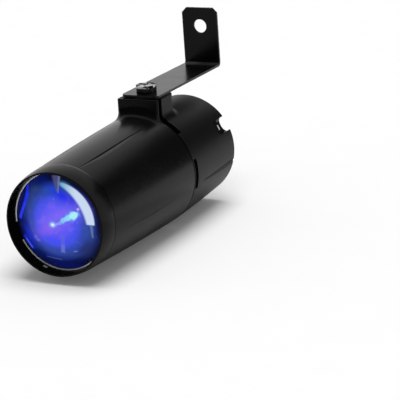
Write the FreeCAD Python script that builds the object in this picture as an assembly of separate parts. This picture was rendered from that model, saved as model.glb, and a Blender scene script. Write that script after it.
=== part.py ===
import FreeCAD, Part
import math
import os

from FreeCAD import Rotation, Vector

# A pinspot light: a tubular lamp body that hangs from a flat L-shaped bracket by one clamp bolt.
# Everything is modelled with the beam axis along Y and the rear at +Y, the bracket above at +Z,
# and zero where the bezel's nose starts. Each piece is then moved so that zero lies in the middle
# of the hanging hole, on the rear face of the bracket's leg. Lengths are in millimetres.

# Clearances and cuts
SEAT_GAP = 0.1
LOOSE_GAP = 0.3
CUT_OVERRUN = 1.0

# Turns, in degrees, and counts that the geometry fixes
FULL_TURN = 360
HALF_TURN = 180
QUARTER_TURN = 90
HEX_SIDES = 6
BOTH_SIDES = (-1, 1)

# Lamp body outline
FRONT_RADIUS = 30.0
BEZEL_LENGTH = 8.4
SEAM_RADIUS = 33.4
SEAM_Y = 101.5
SEAM_GAP = 0.3
REAR_RADIUS = 31.5
CAP_LENGTH = 61.5
BARREL_BULGE = 0.35
CAP_BULGE = 0.25
BODY_WALL = 2.0
EDGE_CHAMFER = 0.3

# Long tapered flutes in the skin, as angles about the beam axis from +X towards +Z. The starts on
# the barrel lie behind the bezel, its ends before the seam, and the cap's starts behind the seam.
UPPER_FLUTE_DEG = 70.7
LOWER_FLUTE_DEG = -12.0
UPPER_FLUTE_LEAD = 0.6
UPPER_FLUTE_STOP = 15.5
UPPER_FLUTE_WIDTH = 2.8
UPPER_FLUTE_DEPTH = 0.55
UPPER_FLUTE_PEAK_SHARE = 0.3
LOWER_FLUTE_LEAD = 11.6
LOWER_FLUTE_STOP = 21.5
LOWER_FLUTE_WIDTH = 1.6
LOWER_FLUTE_DEPTH = 0.5
LOWER_FLUTE_PEAK_SHARE = 0.5
CAP_FLUTE_LEAD = 12.5
CAP_FLUTE_WIDTH = 2.4
CAP_FLUTE_DEPTH = 0.9
FLUTE_END_SHARE = 0.18
FLUTE_RUN_OUT_SHARE = 2.0

# Vent slots behind the seam and notches in the rear rim
VENT_COUNT = 6
VENT_ARC_DEG = 30.0
VENT_SETBACK = 0.9
VENT_WIDTH = 3.8
NOTCH_COUNT = 3
NOTCH_FIRST_DEG = 30.0
NOTCH_WIDTH = 9.0
NOTCH_LENGTH = 18.5
NOTCH_RECESS = 1.8
NOTCH_BITE = 5.5
NOTCH_PAD_THICKNESS = 2.2
NOTCH_PAD_MARGIN = 1.6

# Swivel pedestal on top of the body
PEDESTAL_RISE = 9.6
PEDESTAL_WIDTH = 25.8
PEDESTAL_LENGTH = 24.0
PEDESTAL_FRONT_WALL = 1.8
PEDESTAL_CORNER = 6.0
PEDESTAL_FRONT_CORNER = 1.4
PEDESTAL_BASE_FILLET = 6.5
PEDESTAL_TOP_EDGE = 0.5

# Bracket, its fold and its hanging hole
BRACKET_WIDTH = 23.2
BRACKET_SHEET = 1.4
BRACKET_SETBACK = 1.4
BRACKET_LENGTH = 89.6
BRACKET_LEG_HEIGHT = 34.8
BRACKET_LEG_LEAN_DEG = 2.2
BRACKET_BEND_RADIUS = 1.2
BRACKET_FRONT_CORNER = 2.6
BRACKET_LEG_CHAMFER = 3.0
HANG_HOLE_RADIUS = 4.25
HANG_HOLE_HEIGHT = 23.3

# Clamp bolt, its washer and its captive nut
BOLT_SETBACK = 11.0
BOLT_RADIUS = 3.0
BOLT_HOLE_RADIUS = 3.3
BOLT_HEAD_FLATS = 11.5
BOLT_HEAD_HEIGHT = 4.2
BOLT_LENGTH = 14.0
BOLT_HEAD_CHAMFER = 0.7
CROSS_LENGTH = 5.6
CROSS_WIDTH = 1.3
CROSS_DEPTH = 2.0
FRICTION_WASHER_RADIUS = 10.0
FRICTION_WASHER_THICKNESS = 0.3
NUT_FLATS = 10.0
NUT_HEIGHT = 5.0
NUT_BORE_CLEARANCE = 0.05
NUT_BELOW_TOP = 5.6

# Lens, the bezel that holds it, and what seals it
LENS_FRONT_Y = 4.2
LENS_SIDE_GAP = 0.2
LENS_EDGE_THICKNESS = 2.2
LENS_EDGE_LAND = 0.7
LENS_DOME_HEIGHT = 6.0
BEZEL_NOSE_LENGTH = 4.0
BEZEL_NOSE_RADIUS = 28.7
BEZEL_NOSE_BULGE = 0.35
BEZEL_LIP = 1.0
BEZEL_SPIGOT_WALL = 0.6
BEZEL_SHOULDER = 2.1
BEZEL_SPIGOT_LENGTH = 6.4
BEZEL_SLOT_COUNT = 3
BEZEL_SLOT_FIRST_DEG = 249.0
BEZEL_SLOT_WIDTH = 3.0
BEZEL_SLOT_DEPTH = 1.5
RETAINING_WIRE_RADIUS = 0.45
RETAINING_GAP_DEG = 22.0
RETAINING_GAP_AT_DEG = 196.0
GASKET_THICKNESS = 1.2
GASKET_WIDTH = 1.7

# Glare tube behind the lens
TUBE_FLANGE_THICKNESS = 1.2
TUBE_OUTER_RADIUS = 20.8
TUBE_WALL = 1.2
TUBE_LENGTH = 28.0
TUBE_SHOULDER = 0.8

# Heat sink and the screws that hold it
HEATSINK_SETBACK = 41.5
HEATSINK_WALL = 2.7
HEATSINK_BASE = 4.0
HEATSINK_LENGTH = 34.0
HEATSINK_CORE_RADIUS = 9.0
HEATSINK_FIN_MARGIN = 2.1
HEATSINK_FIN_COUNT = 18
HEATSINK_FIN_THICKNESS = 1.6
HEATSINK_SCREW_COUNT = 3
HEATSINK_SCREW_FIRST_DEG = 30.0
HEATSINK_SCREW_INSET = 5.1
HEATSINK_BOSS_RADIUS = 3.4
HEATSINK_BOSS_LENGTH = 9.0

# Light source
LED_BOARD_RADIUS = 14.0
LED_BOARD_THICKNESS = 1.6
LED_BOARD_SCREW_CIRCLE = 11.6
LED_BOARD_SCREW_COUNT = 3
LED_BOARD_SCREW_FIRST_DEG = 90.0
LED_BASE_SIDE = 5.0
LED_BASE_THICKNESS = 0.8
LED_DOME_RADIUS = 1.9
COLLIMATOR_FRONT_RADIUS = 8.4
COLLIMATOR_REAR_RADIUS = 3.8
COLLIMATOR_LENGTH = 9.0
COLLIMATOR_POCKET_RADIUS = 2.6
COLLIMATOR_RIM = 1.4
HOLDER_WALL = 0.9
HOLDER_FOOT_INSET = 0.7
HOLDER_FOOT_THICKNESS = 1.2
LED_LEAD_RADIUS = 0.8
LED_LEAD_CIRCLE = 6.0
LED_LEAD_HOLE_CLEARANCE = 0.3
LED_LEAD_TAIL = 9.0

# Screws, as shank radius, head radius and head height
M3_SHANK = 1.5
M3_HEAD = 2.75
M3_HEAD_HEIGHT = 2.0
M3_CLEARANCE_HOLE = 1.7
M3_PILOT_HOLE = 1.6
M25_SHANK = 1.25
M25_HEAD = 2.2
M25_HEAD_HEIGHT = 1.6
M25_CLEARANCE_HOLE = 1.45
M25_PILOT_HOLE = 1.3
HEATSINK_SCREW_GRIP = 10.0
JOINT_SCREW_GRIP = 9.0
PLATE_SCREW_GRIP = 9.0
SMALL_SCREW_GRIP = 3.2
BOARD_SCREW_BITE = 1.6

# Posts and flange that join the two housings
JOINT_FLANGE_SETBACK = 6.5
JOINT_FLANGE_THICKNESS = 2.4
JOINT_FLANGE_LAND = 3.6
JOINT_POST_INSET = 3.4
JOINT_POST_RADIUS = 2.9
JOINT_POST_LENGTH = 12.0
JOINT_COUNT = 3
JOINT_FIRST_DEG = 30.0

# Rear plate, its vents and its posts
PLATE_RECESS = 15.0
PLATE_THICKNESS = 2.0
PLATE_SCREW_INSET = 4.1
PLATE_SCREW_COUNT = 3
PLATE_SCREW_FIRST_DEG = 90.0
PLATE_POST_RADIUS = 3.2
PLATE_POST_LENGTH = 10.0
PLATE_VENT_COUNT = 12
PLATE_VENT_LENGTH = 7.5
PLATE_VENT_MARGIN = 4.4
PLATE_VENT_WIDTH = 2.6

# Cable gland, with an empty bore
GLAND_THREAD_RADIUS = 6.0
GLAND_BORE_RADIUS = 3.3
GLAND_THREAD_LENGTH = 5.0
GLAND_HEX_FLATS = 16.0
GLAND_HEX_THICKNESS = 3.0
GLAND_CAP_RADIUS = 6.6
GLAND_CAP_LENGTH = 7.0
GLAND_MOUTH_RADIUS = 4.6
GLAND_NUT_FLATS = 17.0
GLAND_NUT_THICKNESS = 3.4

# Driver tray and circuit board
TRAY_TOP_Z = -16.0
TRAY_SHEET = 1.2
TRAY_HALF_WIDTH = 17.0
TRAY_LENGTH = 34.0
TRAY_TAB_HALF_WIDTH = 14.0
TRAY_TAB_DROP = 8.0
TRAY_SCREW_SPREAD = 11.0
INSULATION_THICKNESS = 0.4
STANDOFF_RADIUS = 2.2
STANDOFF_HEIGHT = 4.0
BOARD_THICKNESS = 1.6
BOARD_HALF_WIDTH = 16.6
BOARD_LENGTH = 30.0
BOARD_REAR_GAP = 3.4
BOARD_HOLE_INSET = 3.0

# Parts on the circuit board
TRANSFORMER_WIDTH = 15.0
TRANSFORMER_DEPTH = 9.0
TRANSFORMER_HEIGHT = 14.0
TRANSFORMER_FLANGE = 1.2
TRANSFORMER_COIL_SHARE = 0.78
INPUT_CAPACITOR_RADIUS = 4.0
INPUT_CAPACITOR_HEIGHT = 15.0
OUTPUT_CAPACITOR_RADIUS = 3.2
OUTPUT_CAPACITOR_HEIGHT = 11.0
CAPACITOR_SLEEVE_CHAMFER = 0.6
CHOKE_OUTER_RADIUS = 3.8
CHOKE_INNER_RADIUS = 1.8
CHOKE_THICKNESS = 3.8
RECTIFIER_SIDE = 5.6
RECTIFIER_HEIGHT = 3.0
TRANSISTOR_WIDTH = 6.8
TRANSISTOR_THICKNESS = 3.2
TRANSISTOR_HEIGHT = 8.0
TRANSISTOR_TAB_HEIGHT = 4.4
TRANSISTOR_TAB_THICKNESS = 1.2
TRANSISTOR_TAB_HOLE = 1.4
FUSE_RADIUS = 2.0
FUSE_LENGTH = 6.2
FUSE_CAP_LENGTH = 1.4
FUSE_CAP_WALL = 0.3
TERMINAL_WIDTH = 10.0
TERMINAL_DEPTH = 6.4
TERMINAL_HEIGHT = 7.0
TERMINAL_WAYS = 2
TERMINAL_WIRE_RADIUS = 1.5
PART_SPACING = 1.0

# Body radii that follow from the sizes above
CAP_BORE = SEAM_RADIUS - BODY_WALL
CAP_REAR_BORE = REAR_RADIUS - BODY_WALL
BARREL_FRONT_BORE = FRONT_RADIUS - BODY_WALL
BARREL_MIDDLE_BORE = BARREL_FRONT_BORE - TUBE_SHOULDER
BEZEL_SPIGOT_RADIUS = BARREL_FRONT_BORE - SEAT_GAP
BEZEL_BORE_RADIUS = BEZEL_SPIGOT_RADIUS - BEZEL_SPIGOT_WALL
BEZEL_INNER_RADIUS = BEZEL_BORE_RADIUS - BEZEL_SHOULDER
LENS_RADIUS = BEZEL_BORE_RADIUS - LENS_SIDE_GAP
LENS_DOME_RADIUS = LENS_RADIUS - LENS_EDGE_LAND
NOTCH_FLOOR = REAR_RADIUS - NOTCH_RECESS
NOTCH_PAD_INNER = NOTCH_FLOOR - NOTCH_PAD_THICKNESS
JOINT_CIRCLE = CAP_BORE - JOINT_POST_INSET
JOINT_FLANGE_INNER = JOINT_CIRCLE - JOINT_FLANGE_LAND
PLATE_SCREW_CIRCLE = CAP_REAR_BORE - PLATE_SCREW_INSET
PLATE_VENT_OUTER = PLATE_SCREW_CIRCLE - PLATE_VENT_MARGIN
PLATE_VENT_INNER = PLATE_VENT_OUTER - PLATE_VENT_LENGTH

# Places that follow from the sizes above
BEAM_AXIS = Vector(0, 1, 0)
CROSS_AXIS = Vector(1, 0, 0)
BODY_LENGTH = SEAM_Y + CAP_LENGTH
PLATE_Y = BODY_LENGTH - PLATE_RECESS
HEATSINK_Y = SEAM_Y - HEATSINK_SETBACK
JOINT_FLANGE_Y = SEAM_Y + JOINT_FLANGE_SETBACK
BOLT_Y = SEAM_Y + BOLT_SETBACK
BRACKET_FRONT_Y = SEAM_Y + BRACKET_SETBACK
BRACKET_REAR_Y = BRACKET_FRONT_Y + BRACKET_LENGTH
PEDESTAL_TOP = SEAM_RADIUS + PEDESTAL_RISE
PEDESTAL_FRONT_Y = SEAM_Y - PEDESTAL_FRONT_WALL
REAR_START_Y = SEAM_Y + SEAM_GAP
STRIP_BOTTOM_Z = PEDESTAL_TOP + FRICTION_WASHER_THICKNESS + SEAT_GAP
STRIP_TOP_Z = STRIP_BOTTOM_Z + BRACKET_SHEET
LENS_REAR_Y = LENS_FRONT_Y + LENS_EDGE_THICKNESS
GASKET_REAR_Y = LENS_REAR_Y + GASKET_THICKNESS
WIRE_Y = LENS_FRONT_Y - RETAINING_WIRE_RADIUS
WIRE_CIRCLE = BEZEL_BORE_RADIUS - RETAINING_WIRE_RADIUS + LOOSE_GAP
SPIGOT_END_Y = BEZEL_LENGTH + BEZEL_SPIGOT_LENGTH
TUBE_SHOULDER_Y = SPIGOT_END_Y + TUBE_FLANGE_THICKNESS
LED_FACE_Y = HEATSINK_Y - LED_BOARD_THICKNESS
COLLIMATOR_REAR_Y = LED_FACE_Y - LED_BASE_THICKNESS - SEAT_GAP
COLLIMATOR_FRONT_Y = COLLIMATOR_REAR_Y - COLLIMATOR_LENGTH
HEATSINK_SEAT_Y = HEATSINK_Y + HEATSINK_BASE
HEATSINK_END_Y = HEATSINK_Y + HEATSINK_LENGTH
JOINT_SEAT_Y = JOINT_FLANGE_Y + JOINT_FLANGE_THICKNESS
PLATE_REAR_Y = PLATE_Y + PLATE_THICKNESS
TRAY_FRONT_Y = PLATE_Y - TRAY_LENGTH
TRAY_TAB_Y = PLATE_Y - TRAY_SHEET
BOARD_BOTTOM_Z = TRAY_TOP_Z + STANDOFF_HEIGHT
BOARD_TOP_Z = BOARD_BOTTOM_Z + BOARD_THICKNESS
BOARD_REAR_Y = TRAY_TAB_Y - BOARD_REAR_GAP
BOARD_FRONT_Y = BOARD_REAR_Y - BOARD_LENGTH
BOARD_MIDDLE_Y = BOARD_REAR_Y - BOARD_LENGTH / 2
FRONT_ROW_Y = BOARD_MIDDLE_Y - TRANSFORMER_DEPTH / 2 - TRANSFORMER_FLANGE - PART_SPACING
REAR_ROW_Y = BOARD_MIDDLE_Y + TRANSFORMER_DEPTH / 2 + 2 * TRANSFORMER_FLANGE + PART_SPACING
SIDE_ROW_X = TRANSFORMER_WIDTH / 2 + PART_SPACING
FRONT_SIDE_X = CHOKE_OUTER_RADIUS + PART_SPACING
LED_LEAD_HOLE = LED_LEAD_RADIUS + LED_LEAD_HOLE_CLEARANCE


def at(y, radius):
    """A point of a turned outline."""
    return Vector(radius, y, 0)


def line(start, end):
    return Part.LineSegment(start, end).toShape()


def bowed(start, end, rise):
    """A shallow arc from start to end that bows outwards by rise."""
    run = end - start
    outward = Vector(run.y, -run.x, 0).normalize()
    return Part.Arc(start, (start + end) / 2 + outward * rise, end).toShape()


def chain(points):
    """Straight edges from each point to the next."""
    return [line(a, b) for a, b in zip(points, points[1:])]


def loop(points):
    """A closed wire of straight edges."""
    return Part.Wire(chain(points + points[:1]))


def turned(edges, degrees=FULL_TURN):
    """The solid that a closed outline sweeps about the beam axis."""
    face = Part.Face(Part.Wire(edges))
    return face.revolve(Vector(0, 0, 0), BEAM_AXIS, degrees)


def turned_points(points):
    return turned(chain(points + points[:1]))


def rod(y_start, y_end, radius, x=0, z=0):
    """A cylinder that runs along the beam axis's direction."""
    return Part.makeCylinder(radius, y_end - y_start, Vector(x, y_start, z), BEAM_AXIS)


def bores(y_start, y_end, radius, places):
    """Cutters along the beam axis's direction that run a little past both faces."""
    return [rod(y_start - CUT_OVERRUN, y_end + CUT_OVERRUN, radius, x, z) for x, z in places]


def ring(y_start, y_end, outer, inner):
    return rod(y_start, y_end, outer).cut(bores(y_start, y_end, inner, [(0, 0)]))


def box(x_range, y_range, z_range):
    low, high = (Vector(*corner) for corner in zip(x_range, y_range, z_range))
    size = high - low
    return Part.makeBox(size.x, size.y, size.z, low)


def centred_box(x, y, width, depth, z_low, z_high):
    x_range = (x - width / 2, x + width / 2)
    y_range = (y - depth / 2, y + depth / 2)
    return box(x_range, y_range, (z_low, z_high))


def post(x, y, z_low, z_high, radius):
    """An upright cylinder."""
    return Part.makeCylinder(radius, z_high - z_low, Vector(x, y, z_low))


def drillings(z_low, z_high, radius, places):
    """Upright cutters that run a little past both faces."""
    return [post(x, y, z_low - CUT_OVERRUN, z_high + CUT_OVERRUN, radius) for x, y in places]


def spread(count, first):
    """Angles that share a full turn evenly."""
    return [first + FULL_TURN * k / count for k in range(count)]


def polar(radius, degrees):
    """X and Z of a place on a circle about the beam axis."""
    turn = math.radians(degrees)
    return radius * math.cos(turn), radius * math.sin(turn)


def turned_to(shape, degrees):
    """A copy of a shape that was made on +X, moved round the beam axis."""
    copy = shape.copy()
    copy.rotate(Vector(0, 0, 0), BEAM_AXIS, -degrees)
    return copy


def corner_reach(flats):
    """Distance from the middle of a hexagon to its corners."""
    return flats / 2 / math.cos(math.pi / HEX_SIDES)


def hex_prism(flats, height):
    """An upright hexagonal prism that stands on zero."""
    corners = [Vector(*polar(corner_reach(flats), angle), 0) for angle in spread(HEX_SIDES, 0)]
    return Part.Face(loop(corners)).extrude(Vector(0, 0, height))


def hex_along_axis(flats, y_start, y_end):
    prism = hex_prism(flats, y_end - y_start)
    prism.rotate(Vector(0, 0, 0), CROSS_AXIS, -QUARTER_TURN)
    prism.translate(Vector(0, y_start, 0))
    return prism


def group(shapes):
    """Separate solids that share one name."""
    return Part.makeCompound(shapes)


def edges_where(shape, test):
    return [edge for edge in shape.Edges if test(edge)]


def screws_along(places, head_y, grip):
    """Pan-head screws whose heads sit behind head_y and whose shanks run to the front."""
    shanks = [rod(head_y - grip, head_y, M3_SHANK, x, z) for x, z in places]
    heads = [rod(head_y, head_y + M3_HEAD_HEIGHT, M3_HEAD, x, z) for x, z in places]
    return group([shank.fuse(head) for shank, head in zip(shanks, heads)])


def heatsink_screw_places():
    angles = spread(HEATSINK_SCREW_COUNT, HEATSINK_SCREW_FIRST_DEG)
    return [polar(heatsink_screw_circle(), angle) for angle in angles]


def joint_screw_places():
    return [polar(JOINT_CIRCLE, angle) for angle in spread(JOINT_COUNT, JOINT_FIRST_DEG)]


def plate_screw_places():
    angles = spread(PLATE_SCREW_COUNT, PLATE_SCREW_FIRST_DEG)
    return [polar(PLATE_SCREW_CIRCLE, angle) for angle in angles]


def led_board_screw_places():
    angles = spread(LED_BOARD_SCREW_COUNT, LED_BOARD_SCREW_FIRST_DEG)
    return [polar(LED_BOARD_SCREW_CIRCLE, angle) for angle in angles]


def lead_places():
    return [(side * LED_LEAD_CIRCLE, 0) for side in BOTH_SIDES]


def tray_screw_places():
    z = TRAY_TOP_Z - TRAY_TAB_DROP / 2
    return [(side * TRAY_SCREW_SPREAD, z) for side in BOTH_SIDES]


def board_hole_places():
    """X and Y of the holes near the circuit board's corners."""
    x = BOARD_HALF_WIDTH - BOARD_HOLE_INSET
    rows = (BOARD_FRONT_Y + BOARD_HOLE_INSET, BOARD_REAR_Y - BOARD_HOLE_INSET)
    return [(side * x, y) for side in BOTH_SIDES for y in rows]


def swelling(start, end, bulge, share):
    """A radius that runs from start to end and swells by bulge at mid-way."""
    return start + (end - start) * share + 4 * bulge * share * (1 - share)


def barrel_radius(y):
    share = (y - BEZEL_LENGTH) / (SEAM_Y - BEZEL_LENGTH)
    return swelling(FRONT_RADIUS, SEAM_RADIUS, BARREL_BULGE, share)


def heatsink_bore():
    """Radius of the seat that the heat sink's base fits, inside the barrel's wall."""
    return barrel_radius(HEATSINK_Y) - HEATSINK_WALL


def heatsink_screw_circle():
    return heatsink_bore() - HEATSINK_SCREW_INSET


def cap_radius(y):
    share = (y - SEAM_Y) / (BODY_LENGTH - SEAM_Y)
    return swelling(SEAM_RADIUS, REAR_RADIUS, CAP_BULGE, share)


def flute_section(skin, y, width, depth, side):
    """A section of a flute's cutter: a steep wall, then a slope that runs out past the skin."""
    crest = Vector(skin + CUT_OVERRUN, y, 0)
    floor = Vector(skin - depth, y, 0)
    meets_skin = Vector(math.sqrt(skin ** 2 - width ** 2), y, -side * width)
    run_out = floor + (meets_skin - floor) * FLUTE_RUN_OUT_SHARE
    return loop([crest, floor, run_out])


def flute(radius_at, stations, width, depth, side):
    """A saw-tooth cut along the skin on +X: steep at one edge and easing out on one side. Each
    station is a place along the beam axis and the share of the full section that it has."""
    sections = [flute_section(radius_at(y), y, width * share, depth * share, side)
                for y, share in stations]
    return Part.makeLoft(sections, True, True)


def flute_pair(radius_at, stations, width, depth, degrees):
    """A flute and its mirror image on the far side."""
    return [turned_to(flute(radius_at, stations, width, depth, 1), degrees),
            turned_to(flute(radius_at, stations, width, depth, -1), HALF_TURN - degrees)]


def barrel_flutes():
    """The barrel's flutes, which are deepest part-way and fade at both ends."""
    kinds = [(UPPER_FLUTE_LEAD, UPPER_FLUTE_STOP, UPPER_FLUTE_PEAK_SHARE,
              UPPER_FLUTE_WIDTH, UPPER_FLUTE_DEPTH, UPPER_FLUTE_DEG),
             (LOWER_FLUTE_LEAD, LOWER_FLUTE_STOP, LOWER_FLUTE_PEAK_SHARE,
              LOWER_FLUTE_WIDTH, LOWER_FLUTE_DEPTH, LOWER_FLUTE_DEG)]
    cutters = []
    for lead, stop, peak, width, depth, degrees in kinds:
        y_start = BEZEL_LENGTH + lead
        y_end = SEAM_Y - stop
        y_peak = y_start + (y_end - y_start) * peak
        stations = [(y_start, FLUTE_END_SHARE), (y_peak, 1), (y_end, FLUTE_END_SHARE)]
        cutters += flute_pair(barrel_radius, stations, width, depth, degrees)
    return cutters


def cap_flutes():
    """The cap's flutes, which are deepest where they run out through the rear rim."""
    stations = [(SEAM_Y + CAP_FLUTE_LEAD, FLUTE_END_SHARE), (BODY_LENGTH + CUT_OVERRUN, 1)]
    return flute_pair(cap_radius, stations, CAP_FLUTE_WIDTH, CAP_FLUTE_DEPTH, LOWER_FLUTE_DEG)


def standing_edges(block, y):
    """The upright edges of the pedestal's block at one of its ends."""
    return edges_where(block, lambda edge: edge.BoundBox.ZLength > PEDESTAL_TOP / 2
                       and abs(edge.CenterOfMass.y - y) < LOOSE_GAP)


def pedestal_block(y_start, y_end):
    half = PEDESTAL_WIDTH / 2
    return box((-half, half), (y_start, y_end), (0, PEDESTAL_TOP))


def on_seam(edge, seam_y):
    """Whether an edge lies in the plane where the two housings meet."""
    bounds = edge.BoundBox
    return abs(bounds.YMin - seam_y) < SEAT_GAP and abs(bounds.YMax - seam_y) < SEAT_GAP


def at_foot(edge):
    """Whether an edge lies where the pedestal meets the round skin."""
    bounds = edge.BoundBox
    reach = PEDESTAL_WIDTH / 2 + LOOSE_GAP
    below = PEDESTAL_TOP - PEDESTAL_BASE_FILLET / 2
    in_height = PEDESTAL_TOP / 2 < bounds.ZMin and bounds.ZMax < below
    in_width = abs(bounds.XMin) < reach and abs(bounds.XMax) < reach
    return in_height and in_width and bounds.YLength < PEDESTAL_LENGTH + LOOSE_GAP


def on_top(edge):
    return edge.BoundBox.ZMin > PEDESTAL_TOP - SEAT_GAP


def with_rounded_pedestal(form, seam_y):
    """Fills the foot of the pedestal where it meets the skin, and rounds its top edge."""
    foot = edges_where(form, lambda edge: at_foot(edge) and not on_seam(edge, seam_y))
    form = form.makeFillet(PEDESTAL_BASE_FILLET, foot)
    top = edges_where(form, lambda edge: on_top(edge) and not on_seam(edge, seam_y))
    return form.makeFillet(PEDESTAL_TOP_EDGE, top)


def barrel_form():
    """The full outer form of the front housing, still solid. It is made past the seam, so that
    the pedestal's foot is rounded along its whole length, and is then trimmed at the seam."""
    edge = BEZEL_LENGTH + EDGE_CHAMFER
    y_end = PEDESTAL_FRONT_Y + PEDESTAL_LENGTH
    y_middle = (edge + y_end) / 2
    points = [at(y_end, barrel_radius(y_end)), at(y_end, 0), at(BEZEL_LENGTH, 0),
              at(BEZEL_LENGTH, FRONT_RADIUS - EDGE_CHAMFER), at(edge, barrel_radius(edge))]
    skin = Part.Arc(points[0], at(y_middle, barrel_radius(y_middle)), points[-1]).toShape()
    block = pedestal_block(PEDESTAL_FRONT_Y, y_end)
    block = block.makeFillet(PEDESTAL_FRONT_CORNER, standing_edges(block, PEDESTAL_FRONT_Y))
    form = with_rounded_pedestal(turned(chain(points) + [skin]).fuse(block), y_end)
    reach = PEDESTAL_TOP + CUT_OVERRUN
    return form.cut(box((-reach, reach), (SEAM_Y, y_end + CUT_OVERRUN), (-reach, reach)))


def cap_form():
    """The full outer form of the rear housing, still solid."""
    edge = BODY_LENGTH - EDGE_CHAMFER
    points = [at(edge, cap_radius(edge)), at(BODY_LENGTH, REAR_RADIUS - EDGE_CHAMFER),
              at(BODY_LENGTH, 0), at(REAR_START_Y, 0), at(REAR_START_Y, SEAM_RADIUS)]
    skin = bowed(points[0], points[-1], -CAP_BULGE)
    rear_y = PEDESTAL_FRONT_Y + PEDESTAL_LENGTH
    block = pedestal_block(REAR_START_Y, rear_y)
    block = block.makeFillet(PEDESTAL_CORNER, standing_edges(block, rear_y))
    return with_rounded_pedestal(turned(chain(points) + [skin]).fuse(block), REAR_START_Y)


def front_bezel():
    """The ring that carries the lens and plugs into the barrel. Its skin curves in to a narrow
    rim that stands in front of the lens."""
    groove_front = WIRE_Y - RETAINING_WIRE_RADIUS
    groove_depth = WIRE_CIRCLE + RETAINING_WIRE_RADIUS
    rim_y = -BEZEL_NOSE_LENGTH
    points = [
        at(BEZEL_LENGTH - EDGE_CHAMFER, FRONT_RADIUS),
        at(BEZEL_LENGTH, FRONT_RADIUS - EDGE_CHAMFER), at(BEZEL_LENGTH, BEZEL_SPIGOT_RADIUS),
        at(SPIGOT_END_Y, BEZEL_SPIGOT_RADIUS), at(SPIGOT_END_Y, BEZEL_INNER_RADIUS),
        at(GASKET_REAR_Y, BEZEL_INNER_RADIUS), at(GASKET_REAR_Y, BEZEL_BORE_RADIUS),
        at(LENS_FRONT_Y, BEZEL_BORE_RADIUS), at(LENS_FRONT_Y, groove_depth),
        at(groove_front, groove_depth), at(groove_front, BEZEL_BORE_RADIUS),
        at(rim_y, BEZEL_NOSE_RADIUS - BEZEL_LIP), at(rim_y, BEZEL_NOSE_RADIUS - EDGE_CHAMFER),
        at(rim_y + EDGE_CHAMFER, BEZEL_NOSE_RADIUS)]
    skin = bowed(points[-1], points[0], BEZEL_NOSE_BULGE)
    shape = turned(chain(points) + [skin])
    half = BEZEL_SLOT_WIDTH / 2
    slot = box((BEZEL_BORE_RADIUS, BEZEL_NOSE_RADIUS - BEZEL_LIP / 2),
               (rim_y - CUT_OVERRUN, rim_y + BEZEL_SLOT_DEPTH), (-half, half))
    angles = spread(BEZEL_SLOT_COUNT, BEZEL_SLOT_FIRST_DEG)
    return shape.cut([turned_to(slot, angle) for angle in angles])


def lens_retaining_ring():
    """The bright spring wire that snaps in front of the lens, open for a short arc."""
    section = Part.Circle(at(WIRE_Y, WIRE_CIRCLE), Vector(0, 0, 1), RETAINING_WIRE_RADIUS)
    wire = turned([section.toShape()], FULL_TURN - RETAINING_GAP_DEG)
    return turned_to(wire, RETAINING_GAP_AT_DEG - RETAINING_GAP_DEG / 2)


def front_lens():
    """A plano-convex lens with a short cylindrical edge."""
    sphere = (LENS_DOME_RADIUS ** 2 + LENS_DOME_HEIGHT ** 2) / (2 * LENS_DOME_HEIGHT)
    half_angle = math.asin(LENS_DOME_RADIUS / sphere) / 2
    apex_y = LENS_FRONT_Y - LENS_DOME_HEIGHT
    apex = at(apex_y, 0)
    middle = at(apex_y + sphere * (1 - math.cos(half_angle)), sphere * math.sin(half_angle))
    foot = at(LENS_FRONT_Y, LENS_DOME_RADIUS)
    dome = Part.Arc(apex, middle, foot).toShape()
    rest = chain([foot, at(LENS_FRONT_Y, LENS_RADIUS), at(LENS_REAR_Y, LENS_RADIUS),
                  at(LENS_REAR_Y, 0), apex])
    return turned([dome] + rest)


def lens_gasket():
    return ring(LENS_REAR_Y, GASKET_REAR_Y, LENS_RADIUS, LENS_RADIUS - GASKET_WIDTH)


def barrel_hollow():
    """The stepped hollow of the front housing."""
    y_front = BEZEL_LENGTH - CUT_OVERRUN
    y_sink = HEATSINK_SEAT_Y + SEAT_GAP
    y_end = SEAM_Y + CUT_OVERRUN
    return turned_points([
        at(y_front, 0), at(y_front, BARREL_FRONT_BORE), at(TUBE_SHOULDER_Y, BARREL_FRONT_BORE),
        at(TUBE_SHOULDER_Y, BARREL_MIDDLE_BORE), at(HEATSINK_Y, BARREL_MIDDLE_BORE),
        at(HEATSINK_Y, heatsink_bore()), at(y_sink, heatsink_bore()), at(SEAM_Y, CAP_BORE),
        at(y_end, CAP_BORE), at(y_end, 0)])


def heatsink_bosses():
    """Bosses for the heat sink's screws, with webs that tie them to the barrel's wall."""
    y_start = HEATSINK_Y - HEATSINK_BOSS_LENGTH
    places = heatsink_screw_places()
    bosses = [rod(y_start, HEATSINK_Y, HEATSINK_BOSS_RADIUS, x, z) for x, z in places]
    half = HEATSINK_BOSS_RADIUS / 2
    web = box((heatsink_screw_circle(), barrel_radius(y_start) - BODY_WALL / 2),
              (y_start, HEATSINK_Y), (-half, half))
    angles = spread(HEATSINK_SCREW_COUNT, HEATSINK_SCREW_FIRST_DEG)
    return bosses + [turned_to(web, angle) for angle in angles]


def joint_posts():
    """Posts that reach back into the cap, with webs that tie them to the barrel's wall."""
    y_start = JOINT_FLANGE_Y - JOINT_POST_LENGTH
    places = joint_screw_places()
    posts = [rod(y_start, JOINT_FLANGE_Y, JOINT_POST_RADIUS, x, z) for x, z in places]
    web = box((JOINT_CIRCLE, barrel_radius(y_start) - BODY_WALL / 2), (y_start, SEAM_Y),
              (-JOINT_POST_RADIUS, JOINT_POST_RADIUS))
    webs = [turned_to(web, angle) for angle in spread(JOINT_COUNT, JOINT_FIRST_DEG)]
    return posts + webs


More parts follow.
